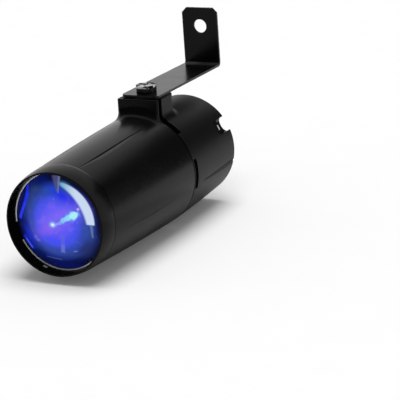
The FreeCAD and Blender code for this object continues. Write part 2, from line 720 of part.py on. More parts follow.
def front_housing():
    """The barrel, with the front wall of the pedestal, the heat sink's bosses and the posts."""
    shape = barrel_form().cut(barrel_hollow())
    shape = shape.cut(barrel_flutes()).multiFuse(heatsink_bosses() + joint_posts())
    sink_tip = HEATSINK_SEAT_Y - HEATSINK_SCREW_GRIP
    joint_tip = JOINT_SEAT_Y - JOINT_SCREW_GRIP
    holes = [rod(sink_tip, HEATSINK_Y + CUT_OVERRUN, M3_PILOT_HOLE, x, z)
             for x, z in heatsink_screw_places()]
    holes += [rod(joint_tip, JOINT_FLANGE_Y + CUT_OVERRUN, M3_PILOT_HOLE, x, z)
              for x, z in joint_screw_places()]
    return shape.cut(holes)


def cap_hollow():
    """The hollow of the rear housing, with its inner flange left standing."""
    y_front = REAR_START_Y - CUT_OVERRUN
    y_end = BODY_LENGTH + CUT_OVERRUN
    return turned_points([
        at(y_front, 0), at(y_front, CAP_BORE), at(JOINT_FLANGE_Y, CAP_BORE),
        at(JOINT_FLANGE_Y, JOINT_FLANGE_INNER), at(JOINT_SEAT_Y, JOINT_FLANGE_INNER),
        at(JOINT_SEAT_Y, CAP_BORE), at(BODY_LENGTH, CAP_REAR_BORE), at(y_end, CAP_REAR_BORE),
        at(y_end, 0)])


def vent_slots():
    """Arc-shaped vents just behind the seam."""
    y_start = REAR_START_Y + VENT_SETBACK
    y_end = y_start + VENT_WIDTH
    inner = CAP_BORE - CUT_OVERRUN
    outer = SEAM_RADIUS + CUT_OVERRUN
    corners = [at(y_start, inner), at(y_start, outer), at(y_end, outer), at(y_end, inner)]
    slot = turned(chain(corners + corners[:1]), VENT_ARC_DEG)
    return [turned_to(slot, angle + VENT_ARC_DEG / 2) for angle in spread(VENT_COUNT, 0)]


def rim_notch(width, depth, inner):
    """A U-shaped cut in the rear rim, centred on +X."""
    radius = width / 2
    reach = max(cap_radius(BODY_LENGTH - depth), REAR_RADIUS) + CUT_OVERRUN
    foot_y = BODY_LENGTH - depth + radius
    round_end = Part.makeCylinder(radius, reach - inner, Vector(inner, foot_y, 0), CROSS_AXIS)
    straight = box((inner, reach), (foot_y, BODY_LENGTH + CUT_OVERRUN), (-radius, radius))
    return round_end.fuse(straight)


def rim_notches():
    """Each notch is a long recess in the skin, with a short round bite right through its end."""
    recess = rim_notch(NOTCH_WIDTH, NOTCH_LENGTH, NOTCH_FLOOR)
    bite = rim_notch(NOTCH_WIDTH, NOTCH_BITE, NOTCH_PAD_INNER - CUT_OVERRUN)
    angles = spread(NOTCH_COUNT, NOTCH_FIRST_DEG)
    return [turned_to(recess.fuse(bite), angle) for angle in angles]


def pad_boxes(y_range, clearance):
    """Flat pads inside the cap, one behind each notch, grown by a clearance."""
    half = NOTCH_WIDTH / 2 + NOTCH_PAD_MARGIN + clearance
    pad = box((NOTCH_PAD_INNER - clearance, REAR_RADIUS), y_range, (-half, half))
    return [turned_to(pad, angle) for angle in spread(NOTCH_COUNT, NOTCH_FIRST_DEG)]


def notch_pads():
    """The pads that close each recess from inside, from before it to the rim's chamfer."""
    y_range = (BODY_LENGTH - NOTCH_LENGTH - NOTCH_PAD_MARGIN, BODY_LENGTH - EDGE_CHAMFER)
    within_wall = rod(*y_range, REAR_RADIUS - BODY_WALL / 2)
    return [pad.common(within_wall) for pad in pad_boxes(y_range, 0)]


def plate_posts():
    """Posts inside the cap that the rear plate is screwed to."""
    y_start = PLATE_Y - PLATE_POST_LENGTH
    places = plate_screw_places()
    posts = [rod(y_start, PLATE_Y, PLATE_POST_RADIUS, x, z) for x, z in places]
    half = PLATE_POST_RADIUS / 2
    web = box((PLATE_SCREW_CIRCLE, cap_radius(PLATE_Y) - BODY_WALL / 2), (y_start, PLATE_Y),
              (-half, half))
    angles = spread(PLATE_SCREW_COUNT, PLATE_SCREW_FIRST_DEG)
    return posts + [turned_to(web, angle) for angle in angles]


def nut_pocket():
    """The hexagonal pocket for the captive nut, which is pushed in from inside."""
    z_low = JOINT_FLANGE_INNER - CUT_OVERRUN
    pocket = hex_prism(NUT_FLATS + 2 * SEAT_GAP, PEDESTAL_TOP - NUT_BELOW_TOP - z_low)
    pocket.translate(Vector(0, BOLT_Y, z_low))
    return pocket


def rear_housing():
    """The rear cap, with vents, rim notches, flutes, the pedestal and the nut's pocket."""
    shape = cap_form().cut(cap_hollow()).multiFuse(plate_posts() + notch_pads())
    plate_tip = PLATE_REAR_Y - PLATE_SCREW_GRIP
    cuts = vent_slots() + rim_notches() + cap_flutes() + [nut_pocket()]
    cuts += [rod(plate_tip, PLATE_Y + CUT_OVERRUN, M3_PILOT_HOLE, x, z)
             for x, z in plate_screw_places()]
    cuts += bores(JOINT_FLANGE_Y, JOINT_SEAT_Y, M3_CLEARANCE_HOLE, joint_screw_places())
    cuts += drillings(CAP_BORE / 2, PEDESTAL_TOP, BOLT_HOLE_RADIUS, [(0, BOLT_Y)])
    return shape.cut(cuts)


def glare_tube():
    """The matt tube that shades the light source, held by its flange behind the bezel."""
    inner = TUBE_OUTER_RADIUS - TUBE_WALL
    flange = ring(SPIGOT_END_Y, TUBE_SHOULDER_Y, BEZEL_SPIGOT_RADIUS, inner)
    tube = ring(SPIGOT_END_Y, SPIGOT_END_Y + TUBE_LENGTH, TUBE_OUTER_RADIUS, inner)
    return flange.fuse(tube).removeSplitter()


def heatsink():
    """A round base with radial fins and a solid core, bored for the two leads."""
    base = rod(HEATSINK_Y, HEATSINK_SEAT_Y, heatsink_bore() - SEAT_GAP)
    core = rod(HEATSINK_Y, HEATSINK_END_Y, HEATSINK_CORE_RADIUS)
    half = HEATSINK_FIN_THICKNESS / 2
    fin = box((HEATSINK_CORE_RADIUS / 2, heatsink_bore() - HEATSINK_FIN_MARGIN),
              (HEATSINK_SEAT_Y - HEATSINK_BASE / 2, HEATSINK_END_Y), (-half, half))
    fins = [turned_to(fin, angle) for angle in spread(HEATSINK_FIN_COUNT, 0)]
    shape = base.multiFuse([core] + fins).removeSplitter()
    pilot_end = LED_FACE_Y + SMALL_SCREW_GRIP + LOOSE_GAP
    holes = bores(HEATSINK_Y, HEATSINK_SEAT_Y, M3_CLEARANCE_HOLE, heatsink_screw_places())
    holes += bores(HEATSINK_Y, HEATSINK_END_Y, LED_LEAD_HOLE, lead_places())
    holes += [rod(LED_FACE_Y, pilot_end, M25_PILOT_HOLE, x, z)
              for x, z in led_board_screw_places()]
    return shape.cut(holes)


def heatsink_screws():
    return screws_along(heatsink_screw_places(), HEATSINK_SEAT_Y, HEATSINK_SCREW_GRIP)


def led_board():
    """A round board with holes for its screws and its leads."""
    holes = bores(LED_FACE_Y, HEATSINK_Y, M25_CLEARANCE_HOLE, led_board_screw_places())
    holes += bores(LED_FACE_Y, HEATSINK_Y, LED_LEAD_HOLE, lead_places())
    return rod(LED_FACE_Y, HEATSINK_Y, LED_BOARD_RADIUS).cut(holes)


def led_board_screws():
    screws = []
    for x, z in led_board_screw_places():
        shank = rod(LED_FACE_Y, LED_FACE_Y + SMALL_SCREW_GRIP, M25_SHANK, x, z)
        head = rod(LED_FACE_Y - M25_HEAD_HEIGHT, LED_FACE_Y, M25_HEAD, x, z)
        screws.append(shank.fuse(head))
    return group(screws)


def led_emitter():
    """A square base with the clear dome of a single power LED."""
    half = LED_BASE_SIDE / 2
    front_y = LED_FACE_Y - LED_BASE_THICKNESS
    base = box((-half, half), (front_y, LED_FACE_Y), (-half, half))
    dome = Part.makeSphere(LED_DOME_RADIUS, Vector(0, front_y, 0))
    in_front = box((-half, half), (front_y - half, LED_FACE_Y), (-half, half))
    return base.fuse(dome.common(in_front))


def led_leads():
    """Two insulated leads that run from the LED board back through the heat sink."""
    y_end = HEATSINK_END_Y + LED_LEAD_TAIL
    return group([rod(LED_FACE_Y, y_end, LED_LEAD_RADIUS, x, z) for x, z in lead_places()])


def collimator_lens():
    """A clear cone-shaped lens with a pocket over the LED's dome and a thin front rim."""
    rim_y = COLLIMATOR_FRONT_Y + COLLIMATOR_RIM
    pocket_y = COLLIMATOR_REAR_Y - LED_DOME_RADIUS - LOOSE_GAP
    rim = COLLIMATOR_FRONT_RADIUS + COLLIMATOR_RIM
    return turned_points([
        at(COLLIMATOR_FRONT_Y, 0), at(COLLIMATOR_FRONT_Y, rim), at(rim_y, rim),
        at(rim_y, COLLIMATOR_FRONT_RADIUS), at(COLLIMATOR_REAR_Y, COLLIMATOR_REAR_RADIUS),
        at(COLLIMATOR_REAR_Y, COLLIMATOR_POCKET_RADIUS), at(pocket_y, COLLIMATOR_POCKET_RADIUS),
        at(pocket_y, 0)])


def collimator_holder():
    """The black cup that stands on the LED board and carries the clear lens by its rim."""
    outer = COLLIMATOR_FRONT_RADIUS + COLLIMATOR_RIM
    seat_y = COLLIMATOR_FRONT_Y + COLLIMATOR_RIM
    foot_y = LED_FACE_Y - HOLDER_FOOT_THICKNESS
    foot_outer = outer - HOLDER_FOOT_INSET
    foot_inner = LED_LEAD_CIRCLE + LED_LEAD_RADIUS + LOOSE_GAP
    return turned_points([
        at(seat_y, outer - HOLDER_WALL), at(seat_y, outer), at(foot_y, foot_outer),
        at(LED_FACE_Y, foot_outer), at(LED_FACE_Y, foot_inner), at(foot_y, foot_inner)])


def housing_screws():
    return screws_along(joint_screw_places(), JOINT_SEAT_Y, JOINT_SCREW_GRIP)


def plate_radius():
    """The rear plate clears the tapering hollow at its own rear face."""
    share = (PLATE_REAR_Y - JOINT_SEAT_Y) / (BODY_LENGTH - JOINT_SEAT_Y)
    return CAP_BORE + (CAP_REAR_BORE - CAP_BORE) * share - LOOSE_GAP


def plate_vents():
    """Round-ended radial slots."""
    y_low = PLATE_Y - CUT_OVERRUN
    y_high = PLATE_REAR_Y + CUT_OVERRUN
    half = PLATE_VENT_WIDTH / 2
    straight = box((PLATE_VENT_INNER, PLATE_VENT_OUTER), (y_low, y_high), (-half, half))
    ends = [rod(y_low, y_high, half, x) for x in (PLATE_VENT_INNER, PLATE_VENT_OUTER)]
    slot = straight.multiFuse(ends)
    angles = spread(PLATE_VENT_COUNT, HALF_TURN / PLATE_VENT_COUNT)
    return [turned_to(slot, angle) for angle in angles]


def rear_plate():
    """A round plate with radial vents, the gland's hole and the screw holes. Its edge is cut out
    round the cap's pads, which keep it from turning."""
    cuts = plate_vents()
    cuts += pad_boxes((PLATE_Y - CUT_OVERRUN, PLATE_REAR_Y + CUT_OVERRUN), LOOSE_GAP)
    cuts += bores(PLATE_Y, PLATE_REAR_Y, GLAND_THREAD_RADIUS + SEAT_GAP, [(0, 0)])
    places = plate_screw_places() + tray_screw_places()
    cuts += bores(PLATE_Y, PLATE_REAR_Y, M3_CLEARANCE_HOLE, places)
    return rod(PLATE_Y, PLATE_REAR_Y, plate_radius()).cut(cuts)


def rear_plate_screws():
    return screws_along(plate_screw_places(), PLATE_REAR_Y, PLATE_SCREW_GRIP)


def cable_gland():
    """The gland: a threaded neck through the plate, a hexagon, and a tapered clamping cap."""
    neck_y = PLATE_Y - GLAND_THREAD_LENGTH
    hex_end = PLATE_REAR_Y + GLAND_HEX_THICKNESS
    neck = rod(neck_y, PLATE_REAR_Y, GLAND_THREAD_RADIUS)
    flats = hex_along_axis(GLAND_HEX_FLATS, PLATE_REAR_Y, hex_end)
    cap = Part.makeCone(GLAND_CAP_RADIUS, GLAND_MOUTH_RADIUS, GLAND_CAP_LENGTH,
                        Vector(0, hex_end, 0), BEAM_AXIS)
    bore = bores(neck_y, hex_end + GLAND_CAP_LENGTH, GLAND_BORE_RADIUS, [(0, 0)])
    return neck.multiFuse([flats, cap]).cut(bore)


def gland_nut():
    y_start = PLATE_Y - GLAND_NUT_THICKNESS
    bore = bores(y_start, PLATE_Y, GLAND_THREAD_RADIUS + SEAT_GAP, [(0, 0)])
    return hex_along_axis(GLAND_NUT_FLATS, y_start, PLATE_Y).cut(bore)


def driver_tray():
    """A folded sheet that hangs from the rear plate and carries the circuit board."""
    floor = box((-TRAY_HALF_WIDTH, TRAY_HALF_WIDTH), (TRAY_FRONT_Y, PLATE_Y),
                (TRAY_TOP_Z - TRAY_SHEET, TRAY_TOP_Z))
    tab = box((-TRAY_TAB_HALF_WIDTH, TRAY_TAB_HALF_WIDTH), (TRAY_TAB_Y, PLATE_Y),
              (TRAY_TOP_Z - TRAY_TAB_DROP, TRAY_TOP_Z))
    holes = bores(TRAY_TAB_Y, PLATE_Y, M3_PILOT_HOLE, tray_screw_places())
    return floor.fuse(tab).removeSplitter().cut(holes)


def tray_screws():
    """Two screws through the rear plate into the tray's tab."""
    grip = PLATE_THICKNESS + TRAY_SHEET + LOOSE_GAP
    return screws_along(tray_screw_places(), PLATE_REAR_Y, grip)


def insulation_sheet():
    """A thin sheet on the tray, holed for the standoffs."""
    z_top = TRAY_TOP_Z + INSULATION_THICKNESS
    sheet = box((-BOARD_HALF_WIDTH, BOARD_HALF_WIDTH), (BOARD_FRONT_Y, BOARD_REAR_Y),
                (TRAY_TOP_Z, z_top))
    return sheet.cut(drillings(TRAY_TOP_Z, z_top, STANDOFF_RADIUS + SEAT_GAP, board_hole_places()))


def board_standoffs():
    """Tapped pillars between the tray and the circuit board."""
    pillars = []
    for x, y in board_hole_places():
        pillar = post(x, y, TRAY_TOP_Z, BOARD_BOTTOM_Z, STANDOFF_RADIUS)
        tapping = post(x, y, TRAY_TOP_Z + INSULATION_THICKNESS, BOARD_BOTTOM_Z + CUT_OVERRUN,
                       M25_PILOT_HOLE)
        pillars.append(pillar.cut(tapping))
    return group(pillars)


def driver_board():
    board = box((-BOARD_HALF_WIDTH, BOARD_HALF_WIDTH), (BOARD_FRONT_Y, BOARD_REAR_Y),
                (BOARD_BOTTOM_Z, BOARD_TOP_Z))
    holes = drillings(BOARD_BOTTOM_Z, BOARD_TOP_Z, M25_CLEARANCE_HOLE, board_hole_places())
    return board.cut(holes)


def driver_board_screws():
    """Small screws through the board's corners into the pillars."""
    screws = []
    for x, y in board_hole_places():
        shank = post(x, y, BOARD_BOTTOM_Z - BOARD_SCREW_BITE, BOARD_TOP_Z, M25_SHANK)
        head = post(x, y, BOARD_TOP_Z, BOARD_TOP_Z + M25_HEAD_HEIGHT, M25_HEAD)
        screws.append(shank.fuse(head))
    return group(screws)


def transformer():
    """A wound coil between the two flanges of its bobbin, inside a ferrite frame."""
    z_low = BOARD_TOP_Z + TRANSFORMER_FLANGE
    z_top = BOARD_TOP_Z + TRANSFORMER_HEIGHT
    z_coil = z_top - 2 * TRANSFORMER_FLANGE
    coil_depth = TRANSFORMER_DEPTH + 2 * TRANSFORMER_FLANGE
    coil_width = TRANSFORMER_WIDTH * TRANSFORMER_COIL_SHARE
    y = BOARD_MIDDLE_Y
    frame = centred_box(0, y, TRANSFORMER_WIDTH, TRANSFORMER_DEPTH, z_low, z_top)
    foot = centred_box(0, y, TRANSFORMER_WIDTH, coil_depth, BOARD_TOP_Z, z_low + TRANSFORMER_FLANGE)
    coil = centred_box(0, y, coil_width, coil_depth, z_low, z_coil)
    flange = centred_box(0, y, coil_width, coil_depth + TRANSFORMER_FLANGE,
                         z_coil - TRANSFORMER_FLANGE, z_coil)
    return frame.multiFuse([foot, coil, flange]).removeSplitter()


def capacitor(x, y, radius, height):
    """An upright can with a bevelled top edge."""
    shape = post(x, y, BOARD_TOP_Z, BOARD_TOP_Z + height, radius)
    middle_z = BOARD_TOP_Z + height / 2
    top = edges_where(shape, lambda edge: edge.BoundBox.ZMin > middle_z)
    return shape.makeChamfer(CAPACITOR_SLEEVE_CHAMFER, top)


def input_capacitor():
    x = -SIDE_ROW_X - INPUT_CAPACITOR_RADIUS
    return capacitor(x, BOARD_MIDDLE_Y, INPUT_CAPACITOR_RADIUS, INPUT_CAPACITOR_HEIGHT)


def output_capacitors():
    x = SIDE_ROW_X + OUTPUT_CAPACITOR_RADIUS
    offset = OUTPUT_CAPACITOR_RADIUS + PART_SPACING / 2
    rows = [BOARD_MIDDLE_Y + side * offset for side in BOTH_SIDES]
    return group([capacitor(x, y, OUTPUT_CAPACITOR_RADIUS, OUTPUT_CAPACITOR_HEIGHT) for y in rows])


def choke():
    """A ring core that lies flat on the board."""
    y = FRONT_ROW_Y - CHOKE_OUTER_RADIUS
    z_top = BOARD_TOP_Z + CHOKE_THICKNESS
    core = post(0, y, BOARD_TOP_Z, z_top, CHOKE_OUTER_RADIUS)
    return core.cut(drillings(BOARD_TOP_Z, z_top, CHOKE_INNER_RADIUS, [(0, y)]))


def terminal_block():
    """A screw terminal with its wire holes at the rear."""
    half = TERMINAL_WIDTH / 2
    y_rear = REAR_ROW_Y + TERMINAL_DEPTH
    y_blind = y_rear - TERMINAL_DEPTH / 2
    z = BOARD_TOP_Z + TERMINAL_HEIGHT / 2
    pitch = TERMINAL_WIDTH / TERMINAL_WAYS
    block = box((-half, half), (REAR_ROW_Y, y_rear), (BOARD_TOP_Z, BOARD_TOP_Z + TERMINAL_HEIGHT))
    columns = [pitch * (way + 1 / 2) - half for way in range(TERMINAL_WAYS)]
    return block.cut([rod(y_blind, y_rear + CUT_OVERRUN, TERMINAL_WIRE_RADIUS, x, z)
                      for x in columns])


def bridge_rectifier():
    x = -FRONT_SIDE_X - RECTIFIER_SIDE / 2
    y = FRONT_ROW_Y - RECTIFIER_SIDE / 2
    z_top = BOARD_TOP_Z + RECTIFIER_HEIGHT
    return centred_box(x, y, RECTIFIER_SIDE, RECTIFIER_SIDE, BOARD_TOP_Z, z_top)


def fuse_link():
    """A glass fuse that lies across the board between its two end caps."""
    y = FRONT_ROW_Y - FUSE_RADIUS - PART_SPACING
    z = BOARD_TOP_Z + FUSE_RADIUS + FUSE_CAP_WALL
    far_cap_x = FRONT_SIDE_X + FUSE_LENGTH - FUSE_CAP_LENGTH
    tube = Part.makeCylinder(FUSE_RADIUS, FUSE_LENGTH, Vector(FRONT_SIDE_X, y, z), CROSS_AXIS)
    caps = [Part.makeCylinder(FUSE_RADIUS + FUSE_CAP_WALL, FUSE_CAP_LENGTH, Vector(x, y, z),
                              CROSS_AXIS) for x in (FRONT_SIDE_X, far_cap_x)]
    return tube.multiFuse(caps)


def switching_transistor():
    """An upright moulded case with a holed metal tab above it."""
    x = TERMINAL_WIDTH / 2 + PART_SPACING + TRANSISTOR_THICKNESS / 2
    y = REAR_ROW_Y + TRANSISTOR_WIDTH / 2
    z_case = BOARD_TOP_Z + TRANSISTOR_HEIGHT
    z_tab = z_case + TRANSISTOR_TAB_HEIGHT
    tab_x = x + TRANSISTOR_THICKNESS / 2 - TRANSISTOR_TAB_THICKNESS / 2
    case = centred_box(x, y, TRANSISTOR_THICKNESS, TRANSISTOR_WIDTH, BOARD_TOP_Z, z_case)
    tab = centred_box(tab_x, y, TRANSISTOR_TAB_THICKNESS, TRANSISTOR_WIDTH, z_case, z_tab)
    start = Vector(tab_x - TRANSISTOR_THICKNESS, y, (z_case + z_tab) / 2)
    hole = Part.makeCylinder(TRANSISTOR_TAB_HOLE, 2 * TRANSISTOR_THICKNESS, start, CROSS_AXIS)
    return case.fuse(tab).cut(hole)


def fold_radius():
    """Outer radius of the bracket's fold."""
    return BRACKET_BEND_RADIUS + BRACKET_SHEET


def fold_centre():
    """The middle of the fold, on the line that the sheet is bent round."""
    return Vector(0, BRACKET_REAR_Y - fold_radius(), STRIP_BOTTOM_Z + fold_radius())


def bracket_strip():
    """The flat strip, with its two front corners rounded."""
    half = BRACKET_WIDTH / 2
    strip = box((-half, half), (BRACKET_FRONT_Y, fold_centre().y), (STRIP_BOTTOM_Z, STRIP_TOP_Z))
    near_front = BRACKET_FRONT_Y + SEAT_GAP
    corners = edges_where(strip, lambda edge: edge.BoundBox.ZLength > BRACKET_SHEET / 2
                          and edge.BoundBox.YMax < near_front)
    return strip.makeFillet(BRACKET_FRONT_CORNER, corners)


def bracket_bend():
    """The rounded fold, turned about a line across the strip."""
    half = BRACKET_WIDTH / 2
    y = fold_centre().y
    section = loop([Vector(-half, y, STRIP_BOTTOM_Z), Vector(half, y, STRIP_BOTTOM_Z),
                    Vector(half, y, STRIP_TOP_Z), Vector(-half, y, STRIP_TOP_Z)])
    sweep = QUARTER_TURN + BRACKET_LEG_LEAN_DEG
    return Part.Face(section).revolve(fold_centre(), CROSS_AXIS, sweep)


def bracket_leg():
    """The leaning leg, with chamfered top corners and the hanging hole."""
    half = BRACKET_WIDTH / 2
    front_y = BRACKET_REAR_Y - BRACKET_SHEET
    top_z = STRIP_TOP_Z + BRACKET_LEG_HEIGHT
    leg = box((-half, half), (front_y, BRACKET_REAR_Y), (fold_centre().z, top_z))
    corners = edges_where(leg, lambda edge: edge.BoundBox.YLength > BRACKET_SHEET / 2
                          and edge.BoundBox.ZMin > top_z - SEAT_GAP)
    leg = leg.makeChamfer(BRACKET_LEG_CHAMFER, corners)
    hole_z = STRIP_TOP_Z + HANG_HOLE_HEIGHT
    leg = leg.cut(bores(front_y, BRACKET_REAR_Y, HANG_HOLE_RADIUS, [(0, hole_z)]))
    leg.rotate(fold_centre(), CROSS_AXIS, BRACKET_LEG_LEAN_DEG)
    return leg


def bracket():
    """The L-shaped bracket: strip, fold and leaning leg, with the bolt's hole."""
    shape = bracket_strip().multiFuse([bracket_bend(), bracket_leg()]).removeSplitter()
    return shape.cut(drillings(STRIP_BOTTOM_Z, STRIP_TOP_Z, BOLT_HOLE_RADIUS, [(0, BOLT_Y)]))


def hang_point():
    """The middle of the hanging hole on the leg's rear face."""
    upright = Vector(0, BRACKET_REAR_Y, STRIP_TOP_Z + HANG_HOLE_HEIGHT)
    lean = Rotation(CROSS_AXIS, BRACKET_LEG_LEAN_DEG)
    return fold_centre() + lean.multVec(upright - fold_centre())


def friction_washer():
    """The thin washer that the bracket turns on."""
    z_top = PEDESTAL_TOP + FRICTION_WASHER_THICKNESS
    shape = post(0, BOLT_Y, PEDESTAL_TOP, z_top, FRICTION_WASHER_RADIUS)
    return shape.cut(drillings(PEDESTAL_TOP, z_top, BOLT_HOLE_RADIUS, [(0, BOLT_Y)]))


def clamp_bolt():
    """A hexagon-head bolt with a cross recess in its head."""
    corner = corner_reach(BOLT_HEAD_FLATS)
    crown = Part.makeCone(corner + BOLT_HEAD_HEIGHT, corner - BOLT_HEAD_CHAMFER,
                          BOLT_HEAD_HEIGHT + BOLT_HEAD_CHAMFER, Vector(0, 0, -BOLT_HEAD_CHAMFER))
    z_low = BOLT_HEAD_HEIGHT - CROSS_DEPTH
    z_high = BOLT_HEAD_HEIGHT + CUT_OVERRUN
    cross = [centred_box(0, 0, CROSS_LENGTH, CROSS_WIDTH, z_low, z_high),
             centred_box(0, 0, CROSS_WIDTH, CROSS_LENGTH, z_low, z_high)]
    head = hex_prism(BOLT_HEAD_FLATS, BOLT_HEAD_HEIGHT).common(crown).cut(cross)
    bolt = head.fuse(post(0, 0, -BOLT_LENGTH, 0, BOLT_RADIUS))
    bolt.translate(Vector(0, BOLT_Y, STRIP_TOP_Z + SEAT_GAP))
    return bolt


def clamp_nut():
    """The captive nut in the pedestal's pocket."""
    z_low = PEDESTAL_TOP - NUT_BELOW_TOP - NUT_HEIGHT
    nut = hex_prism(NUT_FLATS, NUT_HEIGHT)
    nut.translate(Vector(0, BOLT_Y, z_low))
    bore = BOLT_RADIUS + NUT_BORE_CLEARANCE
    return nut.cut(drillings(z_low, z_low + NUT_HEIGHT, bore, [(0, BOLT_Y)]))


PIECES = (bracket, clamp_bolt, friction_washer, clamp_nut, front_bezel, lens_retaining_ring,
          front_lens, lens_gasket, front_housing, glare_tube, collimator_holder, collimator_lens,
          led_emitter, led_board, led_board_screws, led_leads, heatsink, heatsink_screws,
          rear_housing, housing_screws, rear_plate, rear_plate_screws, cable_gland, gland_nut,
          driver_tray, tray_screws, insulation_sheet, board_standoffs, driver_board,
          driver_board_screws, transformer, input_capacitor, output_capacitors, choke,
          bridge_rectifier, fuse_link, switching_transistor, terminal_block)


def main():
    os.makedirs("parts", exist_ok=True)
    to_hang_point = Vector(0, 0, 0) - hang_point()
    for piece in PIECES:
        shape = piece()
        shape.translate(to_hang_point)
        shape.exportStep("parts/" + piece.__name__ + ".step")
        print(piece.__name__, len(shape.Solids), round(shape.Volume, 1), shape.isValid())


main()
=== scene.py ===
import math

import bpy
import numpy as np
from bpy.props import FloatProperty, FloatVectorProperty, PointerProperty
from bpy.types import Operator, Panel, PropertyGroup
from mathutils import Matrix, Vector


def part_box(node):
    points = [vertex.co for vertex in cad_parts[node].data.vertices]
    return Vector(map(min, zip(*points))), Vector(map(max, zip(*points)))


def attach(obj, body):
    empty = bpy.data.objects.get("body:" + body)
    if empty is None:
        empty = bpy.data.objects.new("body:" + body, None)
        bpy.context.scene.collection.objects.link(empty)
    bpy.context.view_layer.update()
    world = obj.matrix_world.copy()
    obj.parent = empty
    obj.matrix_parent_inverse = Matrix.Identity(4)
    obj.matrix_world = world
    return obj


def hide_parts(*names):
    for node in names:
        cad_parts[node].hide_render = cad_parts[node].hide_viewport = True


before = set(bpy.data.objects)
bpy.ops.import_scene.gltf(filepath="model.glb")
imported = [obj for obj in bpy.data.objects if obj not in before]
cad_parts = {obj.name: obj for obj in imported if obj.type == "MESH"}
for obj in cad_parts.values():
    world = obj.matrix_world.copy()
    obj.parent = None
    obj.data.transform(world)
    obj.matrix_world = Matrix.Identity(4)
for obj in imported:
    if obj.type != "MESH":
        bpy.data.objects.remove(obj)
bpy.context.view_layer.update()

bl_info = {
    "name": "Pinspot light",
    "version": (1, 0, 0),
    "blender": (4, 5, 0),
    "location": "3D View > Sidebar > Pinspot",
    "description": "Finishes, lens and studio for a small pinspot light on its bracket",
    "category": "Object",
}

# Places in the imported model. The beam axis lies along Y, through the middle of the bezel.
MM = 0.001
BEZEL_LOW, BEZEL_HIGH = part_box("front_bezel")
LENS_LOW, LENS_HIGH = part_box("front_lens")
NOSE = 4.0 * MM
NOSE_START_Y = BEZEL_LOW.y + NOSE
AXIS_Z = (BEZEL_LOW.z + BEZEL_HIGH.z) / 2
BOLT_TOP_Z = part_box("clamp_bolt")[1].z
FLOOR_Z = min(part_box("front_housing")[0].z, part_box("rear_housing")[0].z)
LENS_EDGE_RADIUS = LENS_HIGH.x
SLOT_OF = {name: node.material_slots[0].material.name for name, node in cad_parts.items()}

# Places of small painted highlights and painted shade, in millimetres from the point on the beam
# axis where the nose starts.
# Angles go about the beam axis, from +X towards +Z.
BEZEL_HIGHLIGHT_Y = 8.2
NICK_Y = 1.2
NICK_ANGLE = -1.95
NICK_RADIUS = 28.6
SEAM_Y = 101.6
VENT_COUNT = 6
VENT_LIP_Y = 103.2
VENT_LIP_HALF_WIDTH = 1.8
UPPER_VENTS_Z = 12.0
CAP_FLUTE_Y = 113.0
CAP_FLUTE_ANGLE = -0.2
FIRST_NOTCH_ANGLE = math.radians(30.0)
NOTCH_PAD_RADIUS = 24.0
NOTCH_FLOOR_RADIUS = 30.2
FOLD_Y = 185.0
FOLD_Z = 44.9
CAMERA_TARGET = (67.28, 34.24, 7.84)


def on_lamp(x, y, z):
    """A place given in millimetres from the point on the beam axis where the nose starts."""
    return Vector((x * MM, NOSE_START_Y + y * MM, AXIS_Z + z * MM))


def linear(red, green, blue):
    """A colour read as 0 to 255 in a picture, as the linear values that a shader takes."""
    values = np.array([red, green, blue]) / 255
    low = values / 12.92
    high = ((values + 0.055) / 1.055) ** 2.4
    return tuple(np.where(values <= 0.04045, low, high)) + (1.0,)


def shade(colour, factor):
    """A colour made lighter or darker: each part of it times factor, and at most 1."""
    return [min(1.0, part * factor) for part in colour[:3]] + [1.0]


class LensSettings(PropertyGroup):
    """Sizes of the lens, and how bright it is"""
    dome_height: FloatProperty(
        name="Dome height", description="How far the lens bulges in front of its flat edge",
        default=6.0 * MM, min=1.0 * MM, max=12.0 * MM, unit="LENGTH")
    edge_land: FloatProperty(
        name="Edge land", description="Width of the flat ring round the dome",
        default=0.7 * MM, min=0.1 * MM, max=3.0 * MM, unit="LENGTH")
    edge_thickness: FloatProperty(
        name="Edge thickness", description="Length of the lens's cylindrical edge",
        default=2.2 * MM, min=0.5 * MM, max=6.0 * MM, unit="LENGTH")
    # Strength of the light painted on the lens.
    glow: FloatProperty(
        name="Glow", description="Brightness of the light inside the lens",
        default=1.0, min=0.0, max=5.0)


class FinishSettings(PropertyGroup):
    """Colours of the black finishes"""
    housing: FloatVectorProperty(
        name="Housing", description="Colour of the moulded plastic", subtype="COLOR", size=4,
        default=(0.0028, 0.0028, 0.003, 1.0), min=0.0, max=1.0)
    bracket: FloatVectorProperty(
        name="Bracket", description="Colour of the bracket's paint", subtype="COLOR", size=4,
        default=(0.0028, 0.0028, 0.003, 1.0), min=0.0, max=1.0)
    bolt: FloatVectorProperty(
        name="Bolt", description="Colour of the clamp bolt's coating", subtype="COLOR", size=4,
        default=(0.0015, 0.0015, 0.0016, 1.0), min=0.0, max=1.0)


